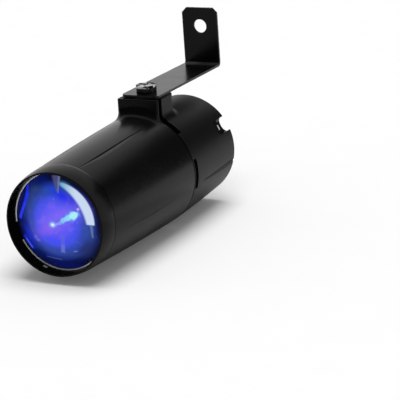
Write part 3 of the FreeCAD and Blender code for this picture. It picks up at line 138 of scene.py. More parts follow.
class StageSettings(PropertyGroup):
    """Where the camera, the cards and the light stand, and how bright the light is"""
    azimuth: FloatProperty(
        name="Azimuth", description="How far round to the light's right the camera stands",
        default=math.radians(25.19), subtype="ANGLE", unit="ROTATION")
    elevation: FloatProperty(
        name="Elevation", description="How steeply the camera looks down",
        default=math.radians(16.67), subtype="ANGLE", unit="ROTATION")
    roll: FloatProperty(
        name="Roll", description="How far the camera is tilted about its line of sight",
        default=math.radians(-3.0), subtype="ANGLE", unit="ROTATION")
    distance: FloatProperty(
        name="Distance", description="From the camera to the place that it looks at",
        default=0.8713, unit="LENGTH")
    focal_length: FloatProperty(
        name="Focal length", description="Focal length of the camera's lens, on a 36 mm sensor",
        default=149.24, subtype="DISTANCE_CAMERA")
    flag_azimuth: FloatProperty(
        name="Flag azimuth", description="Where the black card stands, from the rear to the right",
        default=math.radians(22.0), subtype="ANGLE", unit="ROTATION")
    flag_width: FloatProperty(
        name="Flag width", description="Width of the black card", default=0.78, unit="LENGTH")
    flag_height: FloatProperty(
        name="Flag height", description="Height of the black card", default=0.72, unit="LENGTH")
    flag_lift: FloatProperty(
        name="Flag lift", description="From the floor to the card's lower edge",
        default=0.02, unit="LENGTH")
    mat: FloatProperty(
        name="Mat", description="How pale the mat is that the gloss sees in place of the floor",
        default=0.68, min=0.0, max=1.0)
    key: FloatProperty(
        name="Overhead light", description="Strength of the wide overhead light",
        default=2.05, min=0.0)
    key_angle: FloatProperty(
        name="Overhead width", description="How wide the overhead light spreads",
        default=math.radians(43.0), subtype="ANGLE", unit="ROTATION")
    fill: FloatProperty(
        name="Fill", description="Brightness of the surroundings as they light the object",
        default=0.35, min=0.0)


class Socket:
    """A socket of a material's nodes that takes part in arithmetic as a number would."""

    def __init__(self, nodes, socket):
        self.nodes = nodes
        self.socket = socket

    def maths(self, operation, *values, clamp=False):
        """The result of a Math node with these values."""
        settings = {"operation": operation, "use_clamp": clamp}
        return self.nodes.add("ShaderNodeMath", settings, dict(enumerate(values)))

    def __add__(self, other):
        return self.maths("ADD", self, other)

    def __radd__(self, other):
        return self.maths("ADD", other, self)

    def __sub__(self, other):
        return self.maths("SUBTRACT", self, other)

    def __rsub__(self, other):
        return self.maths("SUBTRACT", other, self)

    def __mul__(self, other):
        return self.maths("MULTIPLY", self, other)

    def __truediv__(self, other):
        return self.maths("DIVIDE", self, other)

    def root(self):
        """The square root."""
        return self.maths("SQRT", self)

    def size(self):
        """The value without its sign."""
        return self.maths("ABSOLUTE", self)

    def clamped(self):
        """The value, kept between 0 and 1."""
        return self.maths("ADD", self, 0.0, clamp=True)

    def rise(self, low, high):
        """A smooth step from 0 at low to 1 at high."""
        settings = {"interpolation_type": "SMOOTHSTEP"}
        places = {"Value": self, "From Min": low, "From Max": high}
        return self.nodes.add("ShaderNodeMapRange", settings, places)

    def fall(self, low, high):
        """A smooth step from 1 at low to 0 at high."""
        return 1.0 - self.rise(low, high)


def stroke(u, v, start, end, widths, blur=0.35):
    """A mask: 1 within a straight stroke whose half-width runs from the first of widths to the
    second, and 0 outside it, with soft edges."""
    run = (end[0] - start[0], end[1] - start[1])
    length = math.hypot(*run)
    du, dv = run[0] / length, run[1] / length
    along = ((u - start[0]) * du + (v - start[1]) * dv) / length
    across = ((u - start[0]) * dv - (v - start[1]) * du).size()
    half = along.clamped() * (widths[1] - widths[0]) + widths[0]
    soft = blur * (widths[0] + widths[1]) / 2 / length
    ends = along.rise(-soft, soft) * along.fall(1.0 - soft, 1.0 + soft)
    return (across / half).fall(1.0 - blur, 1.0 + blur) * ends


def blob(u, v, centre, radii, degrees=0.0):
    """A mask: a soft ellipse that dies away from its centre, turned by an angle."""
    turn = math.radians(degrees)
    du, dv = u - centre[0], v - centre[1]
    along = (du * math.cos(turn) + dv * math.sin(turn)) / radii[0]
    across = (dv * math.cos(turn) - du * math.sin(turn)) / radii[1]
    return u.maths("EXPONENT", (along * along + across * across) * -1.0)


def distance(u, v, centre):
    """The distance from centre: the root of the sum of the two squared differences."""
    du, dv = u - centre[0], v - centre[1]
    return (du * du + dv * dv).root()


class Finish:
    """One material, or one set of surroundings, and the nodes that make it."""

    def __init__(self, name, kind="materials"):
        self.material = getattr(bpy.data, kind).new(name)
        self.material.use_nodes = True
        self.tree = self.material.node_tree
        self.tree.nodes.clear()

    def add(self, kind, settings=None, values=None, output=0):
        """Adds a node: its settings first, then the value or link of each socket."""
        node = self.tree.nodes.new(kind)
        for key, value in (settings or {}).items():
            if key == "stops":
                self.set_stops(node.color_ramp, value)
            else:
                setattr(node, key, value)
        for key, value in (values or {}).items():
            if isinstance(value, Socket):
                self.tree.links.new(value.socket, node.inputs[key])
            else:
                node.inputs[key].default_value = value
        return Socket(self, node.outputs[output]) if node.outputs else None

    def set_stops(self, ramp, stops):
        """The ramp starts with a stop at each end, which take the first and the last colour."""
        ramp.interpolation = "EASE"
        ramp.elements[0].color = stops[0][1]
        ramp.elements[-1].color = stops[-1][1]
        for place, colour in stops[1:-1]:
            ramp.elements.new(place).color = colour

    def place(self):
        """Object coordinates: the place on the piece, in metres."""
        return self.add("ShaderNodeTexCoord", output="Object")

    def axes(self, vector):
        """The three numbers of a vector."""
        return [self.add("ShaderNodeSeparateXYZ", None, {0: vector}, axis) for axis in range(3)]

    def noise(self, vector, scale, detail=3.0, roughness=0.55):
        """Smooth noise from 0 to 1, with scale features to the metre."""
        values = {"Vector": vector, "Scale": scale, "Detail": detail, "Roughness": roughness}
        return self.add("ShaderNodeTexNoise", None, values)

    def stretched(self, vector, scale):
        """A vector scaled by a different amount along each axis."""
        values = {0: vector, 1: scale}
        return self.add("ShaderNodeVectorMath", {"operation": "MULTIPLY"}, values)

    def mixed(self, share, first, second, blend="MIX"):
        """A colour that runs from first to second as share runs from 0 to 1."""
        settings = {"data_type": "RGBA", "blend_type": blend}
        return self.add("ShaderNodeMix", settings, {0: share, 6: first, 7: second}, output=2)

    def bump(self, height, strength, distance):
        """The normal of a surface that rises by distance where height is 1."""
        values = {"Height": height, "Strength": strength, "Distance": distance}
        return self.add("ShaderNodeBump", None, values)

    def seen(self):
        """1 for what the camera sees straight on, in a mirror or through glass, and else 0."""
        path = [self.add("ShaderNodeLightPath", output=name)
                for name in ("Is Camera Ray", "Is Glossy Ray", "Is Transmission Ray")]
        return (path[0] + path[1] + path[2]).clamped()

    def surface(self, painted_black=None, **values):
        """The shader itself, with sockets given by name, and the material's output. Where the
        mask called painted_black is 1, the surface is painted dead black, as painted shade."""
        named = {key.replace("_", " ").title().replace("Ior", "IOR"): value
                 for key, value in values.items()}
        shader = self.add("ShaderNodeBsdfPrincipled", None, named)
        if painted_black is not None:
            dead_black = self.add("ShaderNodeBsdfDiffuse", None, {"Color": (0.001, 0.001, 0.001, 1.0)})
            shader = self.add("ShaderNodeMixShader", None, {0: painted_black, 1: shader, 2: dead_black})
        self.add("ShaderNodeOutputMaterial", None, {0: shader})
        return self.material


def body_places(finish, place):
    """The place in millimetres from the point on the beam axis where the nose starts."""
    x, y, z = finish.axes(place)
    return x / MM, (y - NOSE_START_Y) / MM, (z - AXIS_Z) / MM


def painted_highlights(finish, place):
    """A mask for painted highlights on the housings: a pale line along the upper rim of the bezel
    where it meets the barrel, a painted glint in a nick in its lip, and painted glints on the
    edges of the pad in the first notch."""
    x, y, z = body_places(finish, place)
    # Painted highlight: a pale line on the bezel's upper rim, on the lit upper left, fading to the
    # right.
    rim = (y - BEZEL_HIGHLIGHT_Y).size().fall(0.3, 0.75) * z.rise(8.0, 26.0) * x.fall(4.0, 24.0) * 0.2
    angle = z.maths("ARCTAN2", z, x)
    nick_glint = (angle - NICK_ANGLE).size().fall(0.03, 0.055) * (y - NICK_Y).size().fall(0.4, 1.2)
    nick_glint = nick_glint * (x * x + z * z).root().fall(NICK_RADIUS, NICK_RADIUS + 0.3) * 0.4
    return (rim + nick_glint + notch_glints(x, y, z)).clamped()


def notch_glints(x, y, z):
    """A mask of painted glints on the pad of the first notch: strokes drawn across the notch and
    along y.
    """
    across, up = math.cos(FIRST_NOTCH_ANGLE), math.sin(FIRST_NOTCH_ANGLE)
    outward = x * across + z * up
    sideways = z * across - x * up
    pad = stroke(sideways, y, (-1.6, 153.5), (1.4, 153.8), (0.6, 0.6))
    upper_edge = stroke(sideways, y, (3.6, 154.8), (3.8, 160.5), (0.7, 0.7))
    lower_edge = stroke(sideways, y, (-4.7, 157.0), (-4.7, 161.0), (0.7, 0.7))
    inside = (outward.rise(NOTCH_PAD_RADIUS, NOTCH_PAD_RADIUS + 1.0)
              * outward.fall(NOTCH_FLOOR_RADIUS, NOTCH_FLOOR_RADIUS + 0.4))
    return (pad + (upper_edge + lower_edge) * 0.25) * inside


def painted_gap_shade(finish, place):
    """A mask of painted shade, where the surface is painted dead black: the gap where the barrel
    and the cap meet, the lip of the upper vents behind it (the vents lie evenly round the beam
    axis) and the wall of the cap's flute."""
    x, y, z = body_places(finish, place)
    angle = z.maths("ARCTAN2", z, x)
    turns = angle * float(VENT_COUNT)
    lip = (y - VENT_LIP_Y).size().fall(VENT_LIP_HALF_WIDTH, VENT_LIP_HALF_WIDTH + 0.3)
    lip = lip * turns.maths("COSINE", turns).rise(-0.05, 0.1)
    lip = lip * z.rise(UPPER_VENTS_Z, UPPER_VENTS_Z + 4.0)
    flute = (angle - CAP_FLUTE_ANGLE).size().fall(0.004, 0.012)
    flute = flute * y.rise(CAP_FLUTE_Y, CAP_FLUTE_Y + 7.0) * 0.85
    return ((y - SEAM_Y).size().fall(0.35, 0.6) + lip + flute).clamped()


def moulded_black(name, colour, grain=1900.0, roughness=0.25, specular=0.1, depth=0.012,
                  outside=False):
    """Moulded plastic: a fine even grain, faint flow marks and a little uneven gloss. The
    outside of the housings has painted highlights in pale grey and painted shade in its gaps as
    well."""
    finish = Finish(name)
    place = finish.place()
    grains = finish.noise(place, grain, 2.0)
    flow = finish.noise(finish.stretched(place, (1.0, 0.35, 1.0)), 55.0, 4.0)
    rubs = finish.noise(finish.stretched(place, (1.0, 0.2, 1.0)), 420.0, 5.0, 0.7)
    tone = finish.mixed(flow.rise(0.3, 0.75), shade(colour, 0.86), shade(colour, 1.18))
    uneven = roughness + (flow - 0.5) * 0.16 + rubs.rise(0.6, 0.8) * 0.05
    gap_shade_mask = None
    if outside:
        # Painted highlights and glints in pale grey, then painted shade in dead black in the gaps.
        tone = finish.mixed(painted_highlights(finish, place), tone, (0.6, 0.6, 0.6, 1.0))
        gap_shade_mask = painted_gap_shade(finish, place)
    return finish.surface(gap_shade_mask, base_color=tone, roughness=uneven, specular_ior_level=specular,
                          normal=finish.bump(grains + flow * 0.3, 0.35, depth * MM))


def painted_sheet(name, colour):
    """Powder coat on sheet steel: a fine orange peel, thin spots at random and a painted highlight
    along the line where the strip folds up into the leg, which fades to the right."""
    finish = Finish(name)
    place = finish.place()
    peel = finish.noise(place, 1500.0, 1.0)
    drift = finish.noise(place, 90.0, 3.0)
    x, y, z = body_places(finish, place)
    # Painted highlight along the fold, brighter on the left.
    fold_highlight = (z - FOLD_Z).size().fall(0.3, 0.9) * y.rise(FOLD_Y, FOLD_Y + 2.0)
    fold_highlight = fold_highlight * (x.fall(-11.0, 2.0) + 0.4)
    tone = finish.mixed(drift.rise(0.3, 0.7), shade(colour, 0.85), shade(colour, 1.2))
    tone = finish.mixed(fold_highlight, tone, (0.05, 0.05, 0.05, 1.0))
    return finish.surface(base_color=tone, roughness=0.22 + (drift - 0.5) * 0.12,
                          specular_ior_level=0.145, normal=finish.bump(peel, 0.3, 0.02 * MM))


def gloss_black(name, colour):
    """Blackened steel under oil; on the end of the bolt's head, patches of bright metal paint in
    glints and patches of dead black paint in dark reflections.
    """
    finish = Finish(name)
    place = finish.place()
    marks = finish.noise(finish.stretched(place, (1.0, 1.0, 0.4)), 420.0, 2.0)
    drift = finish.noise(place, 240.0, 2.0)
    patches = finish.noise(place, 300.0, 3.0)
    end = ((finish.axes(place)[2] - BOLT_TOP_Z) / MM).rise(-1.6, -0.9)
    # Painted glints: bright metal patches on the end of the head; painted dark reflections: dead
    # black patches between them.
    glint_patches = patches.rise(0.5, 0.55) * end
    painted_dark_reflections = patches.fall(0.44, 0.5) * end
    tone = finish.mixed(drift.rise(0.35, 0.7), colour, shade(colour, 1.6))
    tone = finish.mixed(glint_patches, tone, (0.6, 0.6, 0.6, 1.0))
    return finish.surface(painted_dark_reflections * 0.8, base_color=tone, metallic=glint_patches,
                          roughness=0.05 + drift * 0.1 + glint_patches * 0.25, specular_ior_level=0.12,
                          normal=finish.bump(marks, 1.0, 0.7 * MM))


def metal(name, colour, roughness=0.3, stretch=(1.0, 1.0, 1.0), scale=900.0, metallic=1.0):
    """Bare or plated metal with fine lines along one direction and faint clouding."""
    finish = Finish(name)
    place = finish.place()
    lines = finish.noise(finish.stretched(place, stretch), scale, 3.0)
    cloud = finish.noise(place, 140.0, 3.0)
    tone = finish.mixed(cloud.rise(0.3, 0.75), shade(colour, 0.82), colour)
    return finish.surface(base_color=tone, metallic=metallic,
                          roughness=roughness + (lines - 0.5) * 0.2 + (cloud - 0.5) * 0.1,
                          normal=finish.bump(lines, 0.25, 0.01 * MM))


def dull(name, colour, roughness=0.7, scale=1200.0, contrast=0.2, depth=0.02, specular=0.3):
    """Matt stuff such as rubber, fibre, ferrite or card, speckled at its own scale."""
    finish = Finish(name)
    place = finish.place()
    speck = finish.noise(place, scale, 4.0, 0.7)
    tone = finish.mixed(speck.rise(0.35, 0.68), shade(colour, 1.0 - contrast),
                        shade(colour, 1.0 + contrast))
    return finish.surface(base_color=tone, roughness=roughness + (speck - 0.5) * 0.15,
                          specular_ior_level=specular,
                          normal=finish.bump(speck, 0.4, depth * MM))


def circuit_board(name, colour):
    """Solder mask over copper tracks, which show a shade lighter and stand a little proud."""
    finish = Finish(name)
    place = finish.place()
    tracks = finish.add("ShaderNodeTexBrick", {"offset": 0.35, "squash": 1.0},
                        {"Vector": place, "Scale": 260.0, "Mortar Size": 0.035,
                         "Color1": (0, 0, 0, 1), "Color2": (0, 0, 0, 1), "Mortar": (1, 1, 1, 1)})
    weave = finish.noise(place, 1800.0, 2.0)
    tone = finish.mixed(tracks, colour, shade(colour, 1.7))
    return finish.surface(base_color=tone, roughness=0.34 + (weave - 0.5) * 0.12,
                          normal=finish.bump(tracks + weave * 0.2, 0.4, 0.03 * MM))


def clear_stuff(name, colour, opacity=0.35):
    """Clear moulded or blown stuff with a faint unevenness in its surface."""
    finish = Finish(name)
    place = finish.place()
    ripple = finish.noise(place, 260.0, 2.0)
    return finish.surface(base_color=colour, roughness=0.05 + ripple * 0.05, alpha=opacity,
                          normal=finish.bump(ripple, 0.2, 0.02 * MM))


def lit_chip(name, colour):
    """The clear dome of the lit LED, brightest in its middle."""
    finish = Finish(name)
    x, _, z = finish.axes(finish.place())
    off_axis = distance(x, z, (0.0, AXIS_Z)) / MM
    glow = finish.mixed(off_axis.rise(0.4, 2.4), (0.8, 0.85, 1.0, 1.0), (0.05, 0.06, 0.35, 1.0))
    return finish.surface(base_color=colour, roughness=0.2, emission_color=glow,
                          emission_strength=1.5)


def painted_lens_light(finish, u, v):
    """The painted light in the lens. u and v run from -1 to 1 across the dome, to the right and
    up. The painted glow fades from violet to navy, and each layer over it is a mask, a colour and
    a strength: painted zones of glow, a painted shadow at the upper right rim, painted
    reflections, a painted image of the lit chip and a painted reflection of the overhead soft
    light."""
    place = finish.place()
    glow = finish.add("ShaderNodeValToRGB", {"stops": [
        (0.0, linear(106, 94, 243)), (0.28, linear(90, 86, 243)), (0.46, linear(66, 80, 228)),
        (0.62, linear(46, 70, 172)), (0.78, linear(28, 44, 120)), (0.88, linear(10, 18, 74)),
        (1.0, linear(2, 3, 16))]}, {"Fac": distance(u, v, (0.0, 0.03))})
    for mask, colour, strength in painted_glow_zones(u, v):
        glow = finish.mixed(mask * strength, glow, linear(*colour))
    cloud = finish.noise(place, 210.0, 3.0, 0.6)
    heart = blob(u, v, (0.05, 0.08), (0.5, 0.36), 20)
    glow = finish.mixed(cloud.rise(0.5, 0.68) * heart * 0.5, glow, linear(142, 110, 238))
    glow = finish.mixed(cloud.fall(0.32, 0.46) * heart * 0.35, glow, linear(66, 76, 240))
    # Painted shadow inside the upper right rim of the lens.
    rim = distance(u, v, (0.0, 0.0)).rise(0.8, 0.89) * (u + v).rise(0.5, 0.85)
    glow = finish.mixed(rim * 0.92, glow, linear(5, 8, 34))
    for mask, colour, strength in painted_reflections(u, v):
        glow = finish.mixed(mask * strength, glow, linear(*colour))
    sparkle = finish.noise(place, 520.0, 3.0, 0.65)
    for mask, colour, strength in painted_chip_image(u, v):
        broken = (mask * 1.5 + sparkle * 1.3).rise(0.85, 1.5)
        glow = finish.mixed(broken * strength, glow, linear(*colour))
    # Colour of the painted reflection of the overhead soft light, paler to the right.
    tint = finish.mixed(u.rise(0.05, 0.45), linear(112, 170, 200), linear(203, 220, 241))
    return finish.mixed(painted_overhead_reflection(u, v) * 0.97, glow, tint)


def painted_overhead_reflection(u, v):
    """A painted reflection of the overhead soft light in the dome: between two circles, and cut
    off level below.
    """
    outer = distance(u, v, (-0.014, 0.021)).fall(0.794, 0.826)
    inner = distance(u, v, (-0.323, -0.127)).rise(0.952, 1.012)
    return outer * inner * u.rise(0.02, 0.14) * (v - (0.72 - u) * 0.12).rise(-0.012, 0.018)


def painted_chip_image(u, v):
    """A painted image of the lit chip: patches in a row that widen to the right."""
    return [
        (blob(u, v, (0.37, 0.18), (0.16, 0.1), 25), (108, 150, 244), 0.55),
        (blob(u, v, (0.11, 0.035), (0.075, 0.034), 25), (118, 160, 240), 0.85),
        (blob(u, v, (0.19, 0.1), (0.085, 0.045), 25), (130, 200, 240), 0.9),
        (blob(u, v, (0.285, 0.145), (0.085, 0.058), 25), (136, 214, 242), 0.95),
        (blob(u, v, (0.395, 0.195), (0.088, 0.072), 35), (168, 236, 244), 1.0)]


def painted_glow_zones(u, v):
    """The broad zones of the painted glow, from the top of the lens to the bottom."""
    return [
        (blob(u, v, (-0.45, 0.80), (0.42, 0.16), 22), (6, 18, 84), 0.95),
        (blob(u, v, (-0.12, 0.67), (0.26, 0.09), 4), (34, 78, 168), 0.75),
        (blob(u, v, (0.2, 0.54), (0.32, 0.09), -26), (30, 44, 232), 0.95),
        (blob(u, v, (-0.48, 0.62), (0.14, 0.09), 10), (46, 68, 118), 0.7),
        (blob(u, v, (-0.64, 0.36), (0.09, 0.28), -14), (42, 64, 126), 0.85),
        (blob(u, v, (-0.60, 0.0), (0.09, 0.24), 6), (46, 68, 160), 0.7),
        (blob(u, v, (-0.91, 0.34), (0.09, 0.26), -22), (14, 18, 84), 0.95),
        (blob(u, v, (-0.80, -0.14), (0.10, 0.22), 4), (12, 22, 84), 0.9),
        (blob(u, v, (-0.69, -0.32), (0.08, 0.22), 24), (14, 42, 196), 0.85),
        (blob(u, v, (-0.50, -0.70), (0.17, 0.12), -20), (3, 19, 82), 0.95),
        (blob(u, v, (0.13, 0.15), (0.48, 0.19), 25), (126, 102, 243), 0.85),
        (blob(u, v, (-0.2, -0.15), (0.26, 0.11), 18), (132, 92, 232), 0.75),
        (blob(u, v, (-0.05, -0.36), (0.3, 0.12), 0), (68, 76, 246), 0.6),
        (blob(u, v, (0.02, -0.60), (0.42, 0.08), -4), (48, 70, 146), 0.7),
        (blob(u, v, (0.66, -0.18), (0.12, 0.2), 10), (50, 76, 152), 0.7),
        (blob(u, v, (0.6, -0.52), (0.2, 0.12), 50), (38, 48, 96), 0.7),
        (blob(u, v, (0.1, -0.93), (0.6, 0.09), 0), (9, 18, 86), 0.9)]


def painted_reflections(u, v):
    """The small painted reflections: the left arc, the wedge above, the patch below and stray
    marks.
    """
    return [
        (stroke(u, v, (-0.705, 0.72), (-0.70, 0.50), (0.02, 0.045), 0.6), (30, 44, 224), 0.8),
        (stroke(u, v, (-0.70, 0.54), (-0.775, 0.30), (0.04, 0.038), 0.6), (34, 50, 232), 0.9),
        (stroke(u, v, (-0.765, 0.34), (-0.93, -0.01), (0.034, 0.036), 0.6), (42, 56, 238), 0.95),
        (stroke(u, v, (-0.03, 0.96), (0.04, 0.64), (0.09, 0.02), 0.5), (80, 84, 132), 0.72),
        (stroke(u, v, (0.045, 0.95), (0.055, 0.62), (0.026, 0.012), 0.5), (132, 130, 166), 0.5),
        (blob(u, v, (0.16, 0.8), (0.1, 0.04), -14), (84, 140, 178), 0.6),
        (stroke(u, v, (0.137, -0.22), (0.07, -0.62), (0.04, 0.05), 0.35), (92, 102, 214), 0.6),
        (stroke(u, v, (0.11, -0.44), (0.068, -0.61), (0.03, 0.036), 0.6), (110, 120, 200), 0.5),
        (blob(u, v, (0.35, -0.575), (0.04, 0.014), 12), (122, 142, 196), 0.8),
        (stroke(u, v, (-0.36, -0.755), (0.0, -0.79), (0.008, 0.012), 0.8), (66, 86, 156), 0.7),
        (blob(u, v, (-0.53, -0.34), (0.05, 0.045), 40), (110, 100, 243), 0.75),
        (blob(u, v, (-0.475, -0.40), (0.05, 0.03), 10), (120, 104, 243), 0.7),
        (stroke(u, v, (-0.86, -0.36), (-0.66, -0.63), (0.05, 0.04), 0.8), (26, 44, 214), 0.75),
        (stroke(u, v, (-0.82, -0.43), (-0.69, -0.61), (0.012, 0.016), 0.7), (86, 100, 242), 0.95),
        (stroke(u, v, (0.735, -0.01), (0.74, -0.27), (0.03, 0.014), 0.6), (98, 124, 172), 0.75),
        (stroke(u, v, (-0.06, -0.035), (0.12, 0.035), (0.024, 0.02), 0.7), (146, 168, 242), 0.7),
        (blob(u, v, (-0.075, -0.022), (0.058, 0.052)), (150, 220, 246), 0.9),
        (blob(u, v, (-0.075, -0.022), (0.03, 0.027)), (246, 252, 255), 1.0),
        (blob(u, v, (0.487, 0.322), (0.024, 0.022)), (218, 204, 255), 0.95)]


def lens_finish(settings):
    """The lit lens: a painted glow with painted reflections and a painted shadow, on a clear face
    that reflects a little.
    """
    finish = Finish("lit_lens")
    x, _, z = finish.axes(finish.place())
    radius = LENS_EDGE_RADIUS - settings.edge_land
    glow = painted_lens_light(finish, x / radius, (z - AXIS_Z) / radius)
    return finish.surface(base_color=(0.002, 0.003, 0.015, 1.0), roughness=0.06,
                          specular_ior_level=0.05, emission_color=glow,
                          emission_strength=settings.glow)


def grid_faces(rows, columns):
    """Quads between neighbouring points of a grid whose columns close on themselves."""
    row, column = np.meshgrid(np.arange(rows - 1), np.arange(columns), indexing="ij")
    after = (column + 1) % columns
    corners = [row * columns + column, (row + 1) * columns + column,
               (row + 1) * columns + after, row * columns + after]
    return np.stack(corners, axis=-1).reshape(-1, 4)


def new_piece(name, points, faces, material):
    """A smooth mesh object from arrays of points and faces."""
    mesh = bpy.data.meshes.new(name)
    mesh.from_pydata(points.tolist(), [], faces)
    mesh.validate()
    mesh.shade_smooth()
    mesh.materials.append(material)
    piece = bpy.data.objects.new(name, mesh)
    bpy.context.scene.collection.objects.link(piece)
    return piece


def turned_piece(name, profile, material, columns=192):
    """A turned form: the profile's radius and y go round the beam axis, and its two ends, which
    lie on the axis, close in a fan of triangles."""
    radius, y = profile[1:-1].T
    turn = np.linspace(0, 2 * np.pi, columns, endpoint=False)
    x = radius[:, None] * np.cos(turn)
    z = AXIS_Z + radius[:, None] * np.sin(turn)
    ring = np.stack([x, np.repeat(y[:, None], columns, axis=1), z], axis=-1).reshape(-1, 3)
    poles = np.array([[0, profile[0, 1], AXIS_Z], [0, profile[-1, 1], AXIS_Z]])
    points = np.vstack([ring, poles])
    here = np.arange(columns)
    after = (here + 1) % columns
    last = (len(radius) - 1) * columns
    first_fan = np.stack([np.full(columns, len(ring)), here, after], axis=-1)
    last_fan = np.stack([np.full(columns, len(ring) + 1), last + after, last + here], axis=-1)
    faces = grid_faces(len(radius), columns).tolist() + first_fan.tolist() + last_fan.tolist()
    return new_piece(name, points, faces, material)


def dress(names, material):
    """Gives CAD nodes their finish."""
    for name in names:
        for material_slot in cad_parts[name].material_slots:
            material_slot.material = material


def nodes_in(*slots):
    """The CAD nodes whose material slot is one of these."""
    return [name for name, slot in SLOT_OF.items() if slot in slots]


class PINSPOT_OT_housings(Operator):
    """Gives the bezel, the barrel and the rear cap their moulded black finish"""
    bl_idname = "pinspot.housings"
    bl_label = "Housings"

    def execute(self, context):
        colour = context.scene.pinspot_finish.housing
        dress(nodes_in("housing_black"), moulded_black("moulded_black", list(colour),
                                                       outside=True))
        dress(["rear_housing"], moulded_black("cap_black", list(colour), roughness=0.42,
                                              outside=True))
        dress(nodes_in("inner_black"), moulded_black("inner_black", [0.006, 0.006, 0.006, 1.0],
                                                     2600.0, 0.75, 0.1))
        return {"FINISHED"}


class PINSPOT_OT_bracket(Operator):
    """Gives the bracket its powder coat and the washer under it its fibre finish"""
    bl_idname = "pinspot.bracket"
    bl_label = "Bracket"

    def execute(self, context):
        colour = context.scene.pinspot_finish.bracket
        dress(nodes_in("bracket_black"), painted_sheet("powder_coat", list(colour)))
        dress(nodes_in("washer_fibre"), dull("washer_fibre", [0.02, 0.02, 0.02, 1.0]))
        return {"FINISHED"}


class PINSPOT_OT_clamp_bolt(Operator):
    """Gives the clamp bolt its glossy black finish"""
    bl_idname = "pinspot.clamp_bolt"
    bl_label = "Clamp bolt"

    def execute(self, context):
        colour = context.scene.pinspot_finish.bolt
        dress(nodes_in("bolt_black"), gloss_black("bolt_black", list(colour)))
        return {"FINISHED"}


class PINSPOT_OT_lens(Operator):
    """Builds the domed lens, with its blue light from inside painted on, in place of the plain one
    """
    bl_idname = "pinspot.lens"
    bl_label = "Lens"

    def execute(self, context):
        settings = context.scene.pinspot_lens
        dome_radius = LENS_EDGE_RADIUS - settings.edge_land
        foot_y = LENS_LOW.y + settings.dome_height
        back_y = foot_y + settings.edge_thickness
        sphere = (dome_radius ** 2 + settings.dome_height ** 2) / (2 * settings.dome_height)
        turn = np.linspace(0, math.asin(dome_radius / sphere), 40)
        dome = np.stack([sphere * np.sin(turn), LENS_LOW.y + sphere * (1 - np.cos(turn))], axis=-1)
        bevel = 0.1 * MM
        edge = np.array([[LENS_EDGE_RADIUS - bevel, foot_y], [LENS_EDGE_RADIUS, foot_y + bevel],
                         [LENS_EDGE_RADIUS, back_y], [dome_radius / 2, back_y], [0, back_y]])
        profile = np.vstack([dome, edge])
        piece = turned_piece("lit_lens", profile, lens_finish(settings))
        piece.visible_glossy = piece.visible_diffuse = False
        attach(piece, "lamp")
        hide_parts("front_lens")
        return {"FINISHED"}


class PINSPOT_OT_retaining_wire(Operator):
    """Gives the spring wire in front of the lens its bright drawn finish"""
    bl_idname = "pinspot.retaining_wire"
    bl_label = "Retaining wire"

    def execute(self, context):
        dress(nodes_in("bright_steel"), metal("bright_wire", [0.8, 0.8, 0.82, 1.0], 0.22,
                                              metallic=0.4))
        dress(nodes_in("seal_rubber"), dull("seal_rubber", [0.012, 0.012, 0.012, 1.0]))
        return {"FINISHED"}


class PINSPOT_OT_fasteners(Operator):
    """Gives the screws, the nut, the pillars and the tray their plated finish"""
    bl_idname = "pinspot.fasteners"
    bl_label = "Fasteners and tray"

    def execute(self, context):
        dress(nodes_in("plated_steel"), metal("zinc_plate", [0.5, 0.5, 0.52, 1.0], 0.32))
        dress(nodes_in("sheet_steel"), metal("folded_sheet", [0.48, 0.49, 0.51, 1.0], 0.38,
                                             (1.0, 0.06, 1.0), 1500.0))
        dress(nodes_in("gland_nylon"), moulded_black("gland_nylon", [0.012, 0.012, 0.012, 1.0],
                                                     1400.0, 0.5, 0.3))
        return {"FINISHED"}


class PINSPOT_OT_light_source(Operator):
    """Gives the heat sink, the LED, its board and its optics their finishes"""
    bl_idname = "pinspot.light_source"
    bl_label = "Light source"

    def execute(self, context):
        dress(nodes_in("heatsink_aluminium"), metal("extruded_aluminium", [0.6, 0.61, 0.63, 1.0],
                                                    0.36, (1.0, 0.04, 1.0), 1400.0))
        dress(nodes_in("led_board_white"), dull("white_mask", [0.72, 0.73, 0.74, 1.0], 0.4,
                                                1600.0, 0.06, 0.01))
        dress(nodes_in("led_lit"), lit_chip("lit_chip", (0.6, 0.65, 0.9, 1.0)))
        dress(nodes_in("clear_optic"), clear_stuff("clear_optic", (0.85, 0.88, 1.0, 1.0)))
        dress(nodes_in("lead_red"), dull("lead_sleeve", [0.3, 0.02, 0.015, 1.0], 0.4, 700.0, 0.1))
        return {"FINISHED"}


class PINSPOT_OT_driver(Operator):
    """Gives the driver's board and the parts on it their finishes"""
    bl_idname = "pinspot.driver"
    bl_label = "Driver"

    def execute(self, context):
        dress(nodes_in("circuit_board"), circuit_board("solder_mask", (0.02, 0.13, 0.05, 1.0)))
        dress(nodes_in("insulation"), dull("insulation_card", [0.5, 0.46, 0.33, 1.0], 0.65,
                                           500.0, 0.12))
        dress(nodes_in("ferrite"), dull("ferrite", [0.04, 0.04, 0.045, 1.0], 0.6, 2200.0, 0.35))
        dress(nodes_in("capacitor_sleeve"), dull("shrunk_sleeve", [0.012, 0.018, 0.07, 1.0], 0.3,
                                                 400.0, 0.15, 0.01, 0.5))
        dress(nodes_in("moulded_case"), dull("moulded_case", [0.012, 0.012, 0.012, 1.0], 0.55,
                                             1800.0, 0.25))
        dress(nodes_in("fuse_glass"), clear_stuff("fuse_glass", (0.8, 0.83, 0.83, 1.0), 0.5))
        dress(nodes_in("terminal_green"), dull("terminal_green", [0.02, 0.16, 0.05, 1.0], 0.45,
                                               900.0, 0.12))
        return {"FINISHED"}


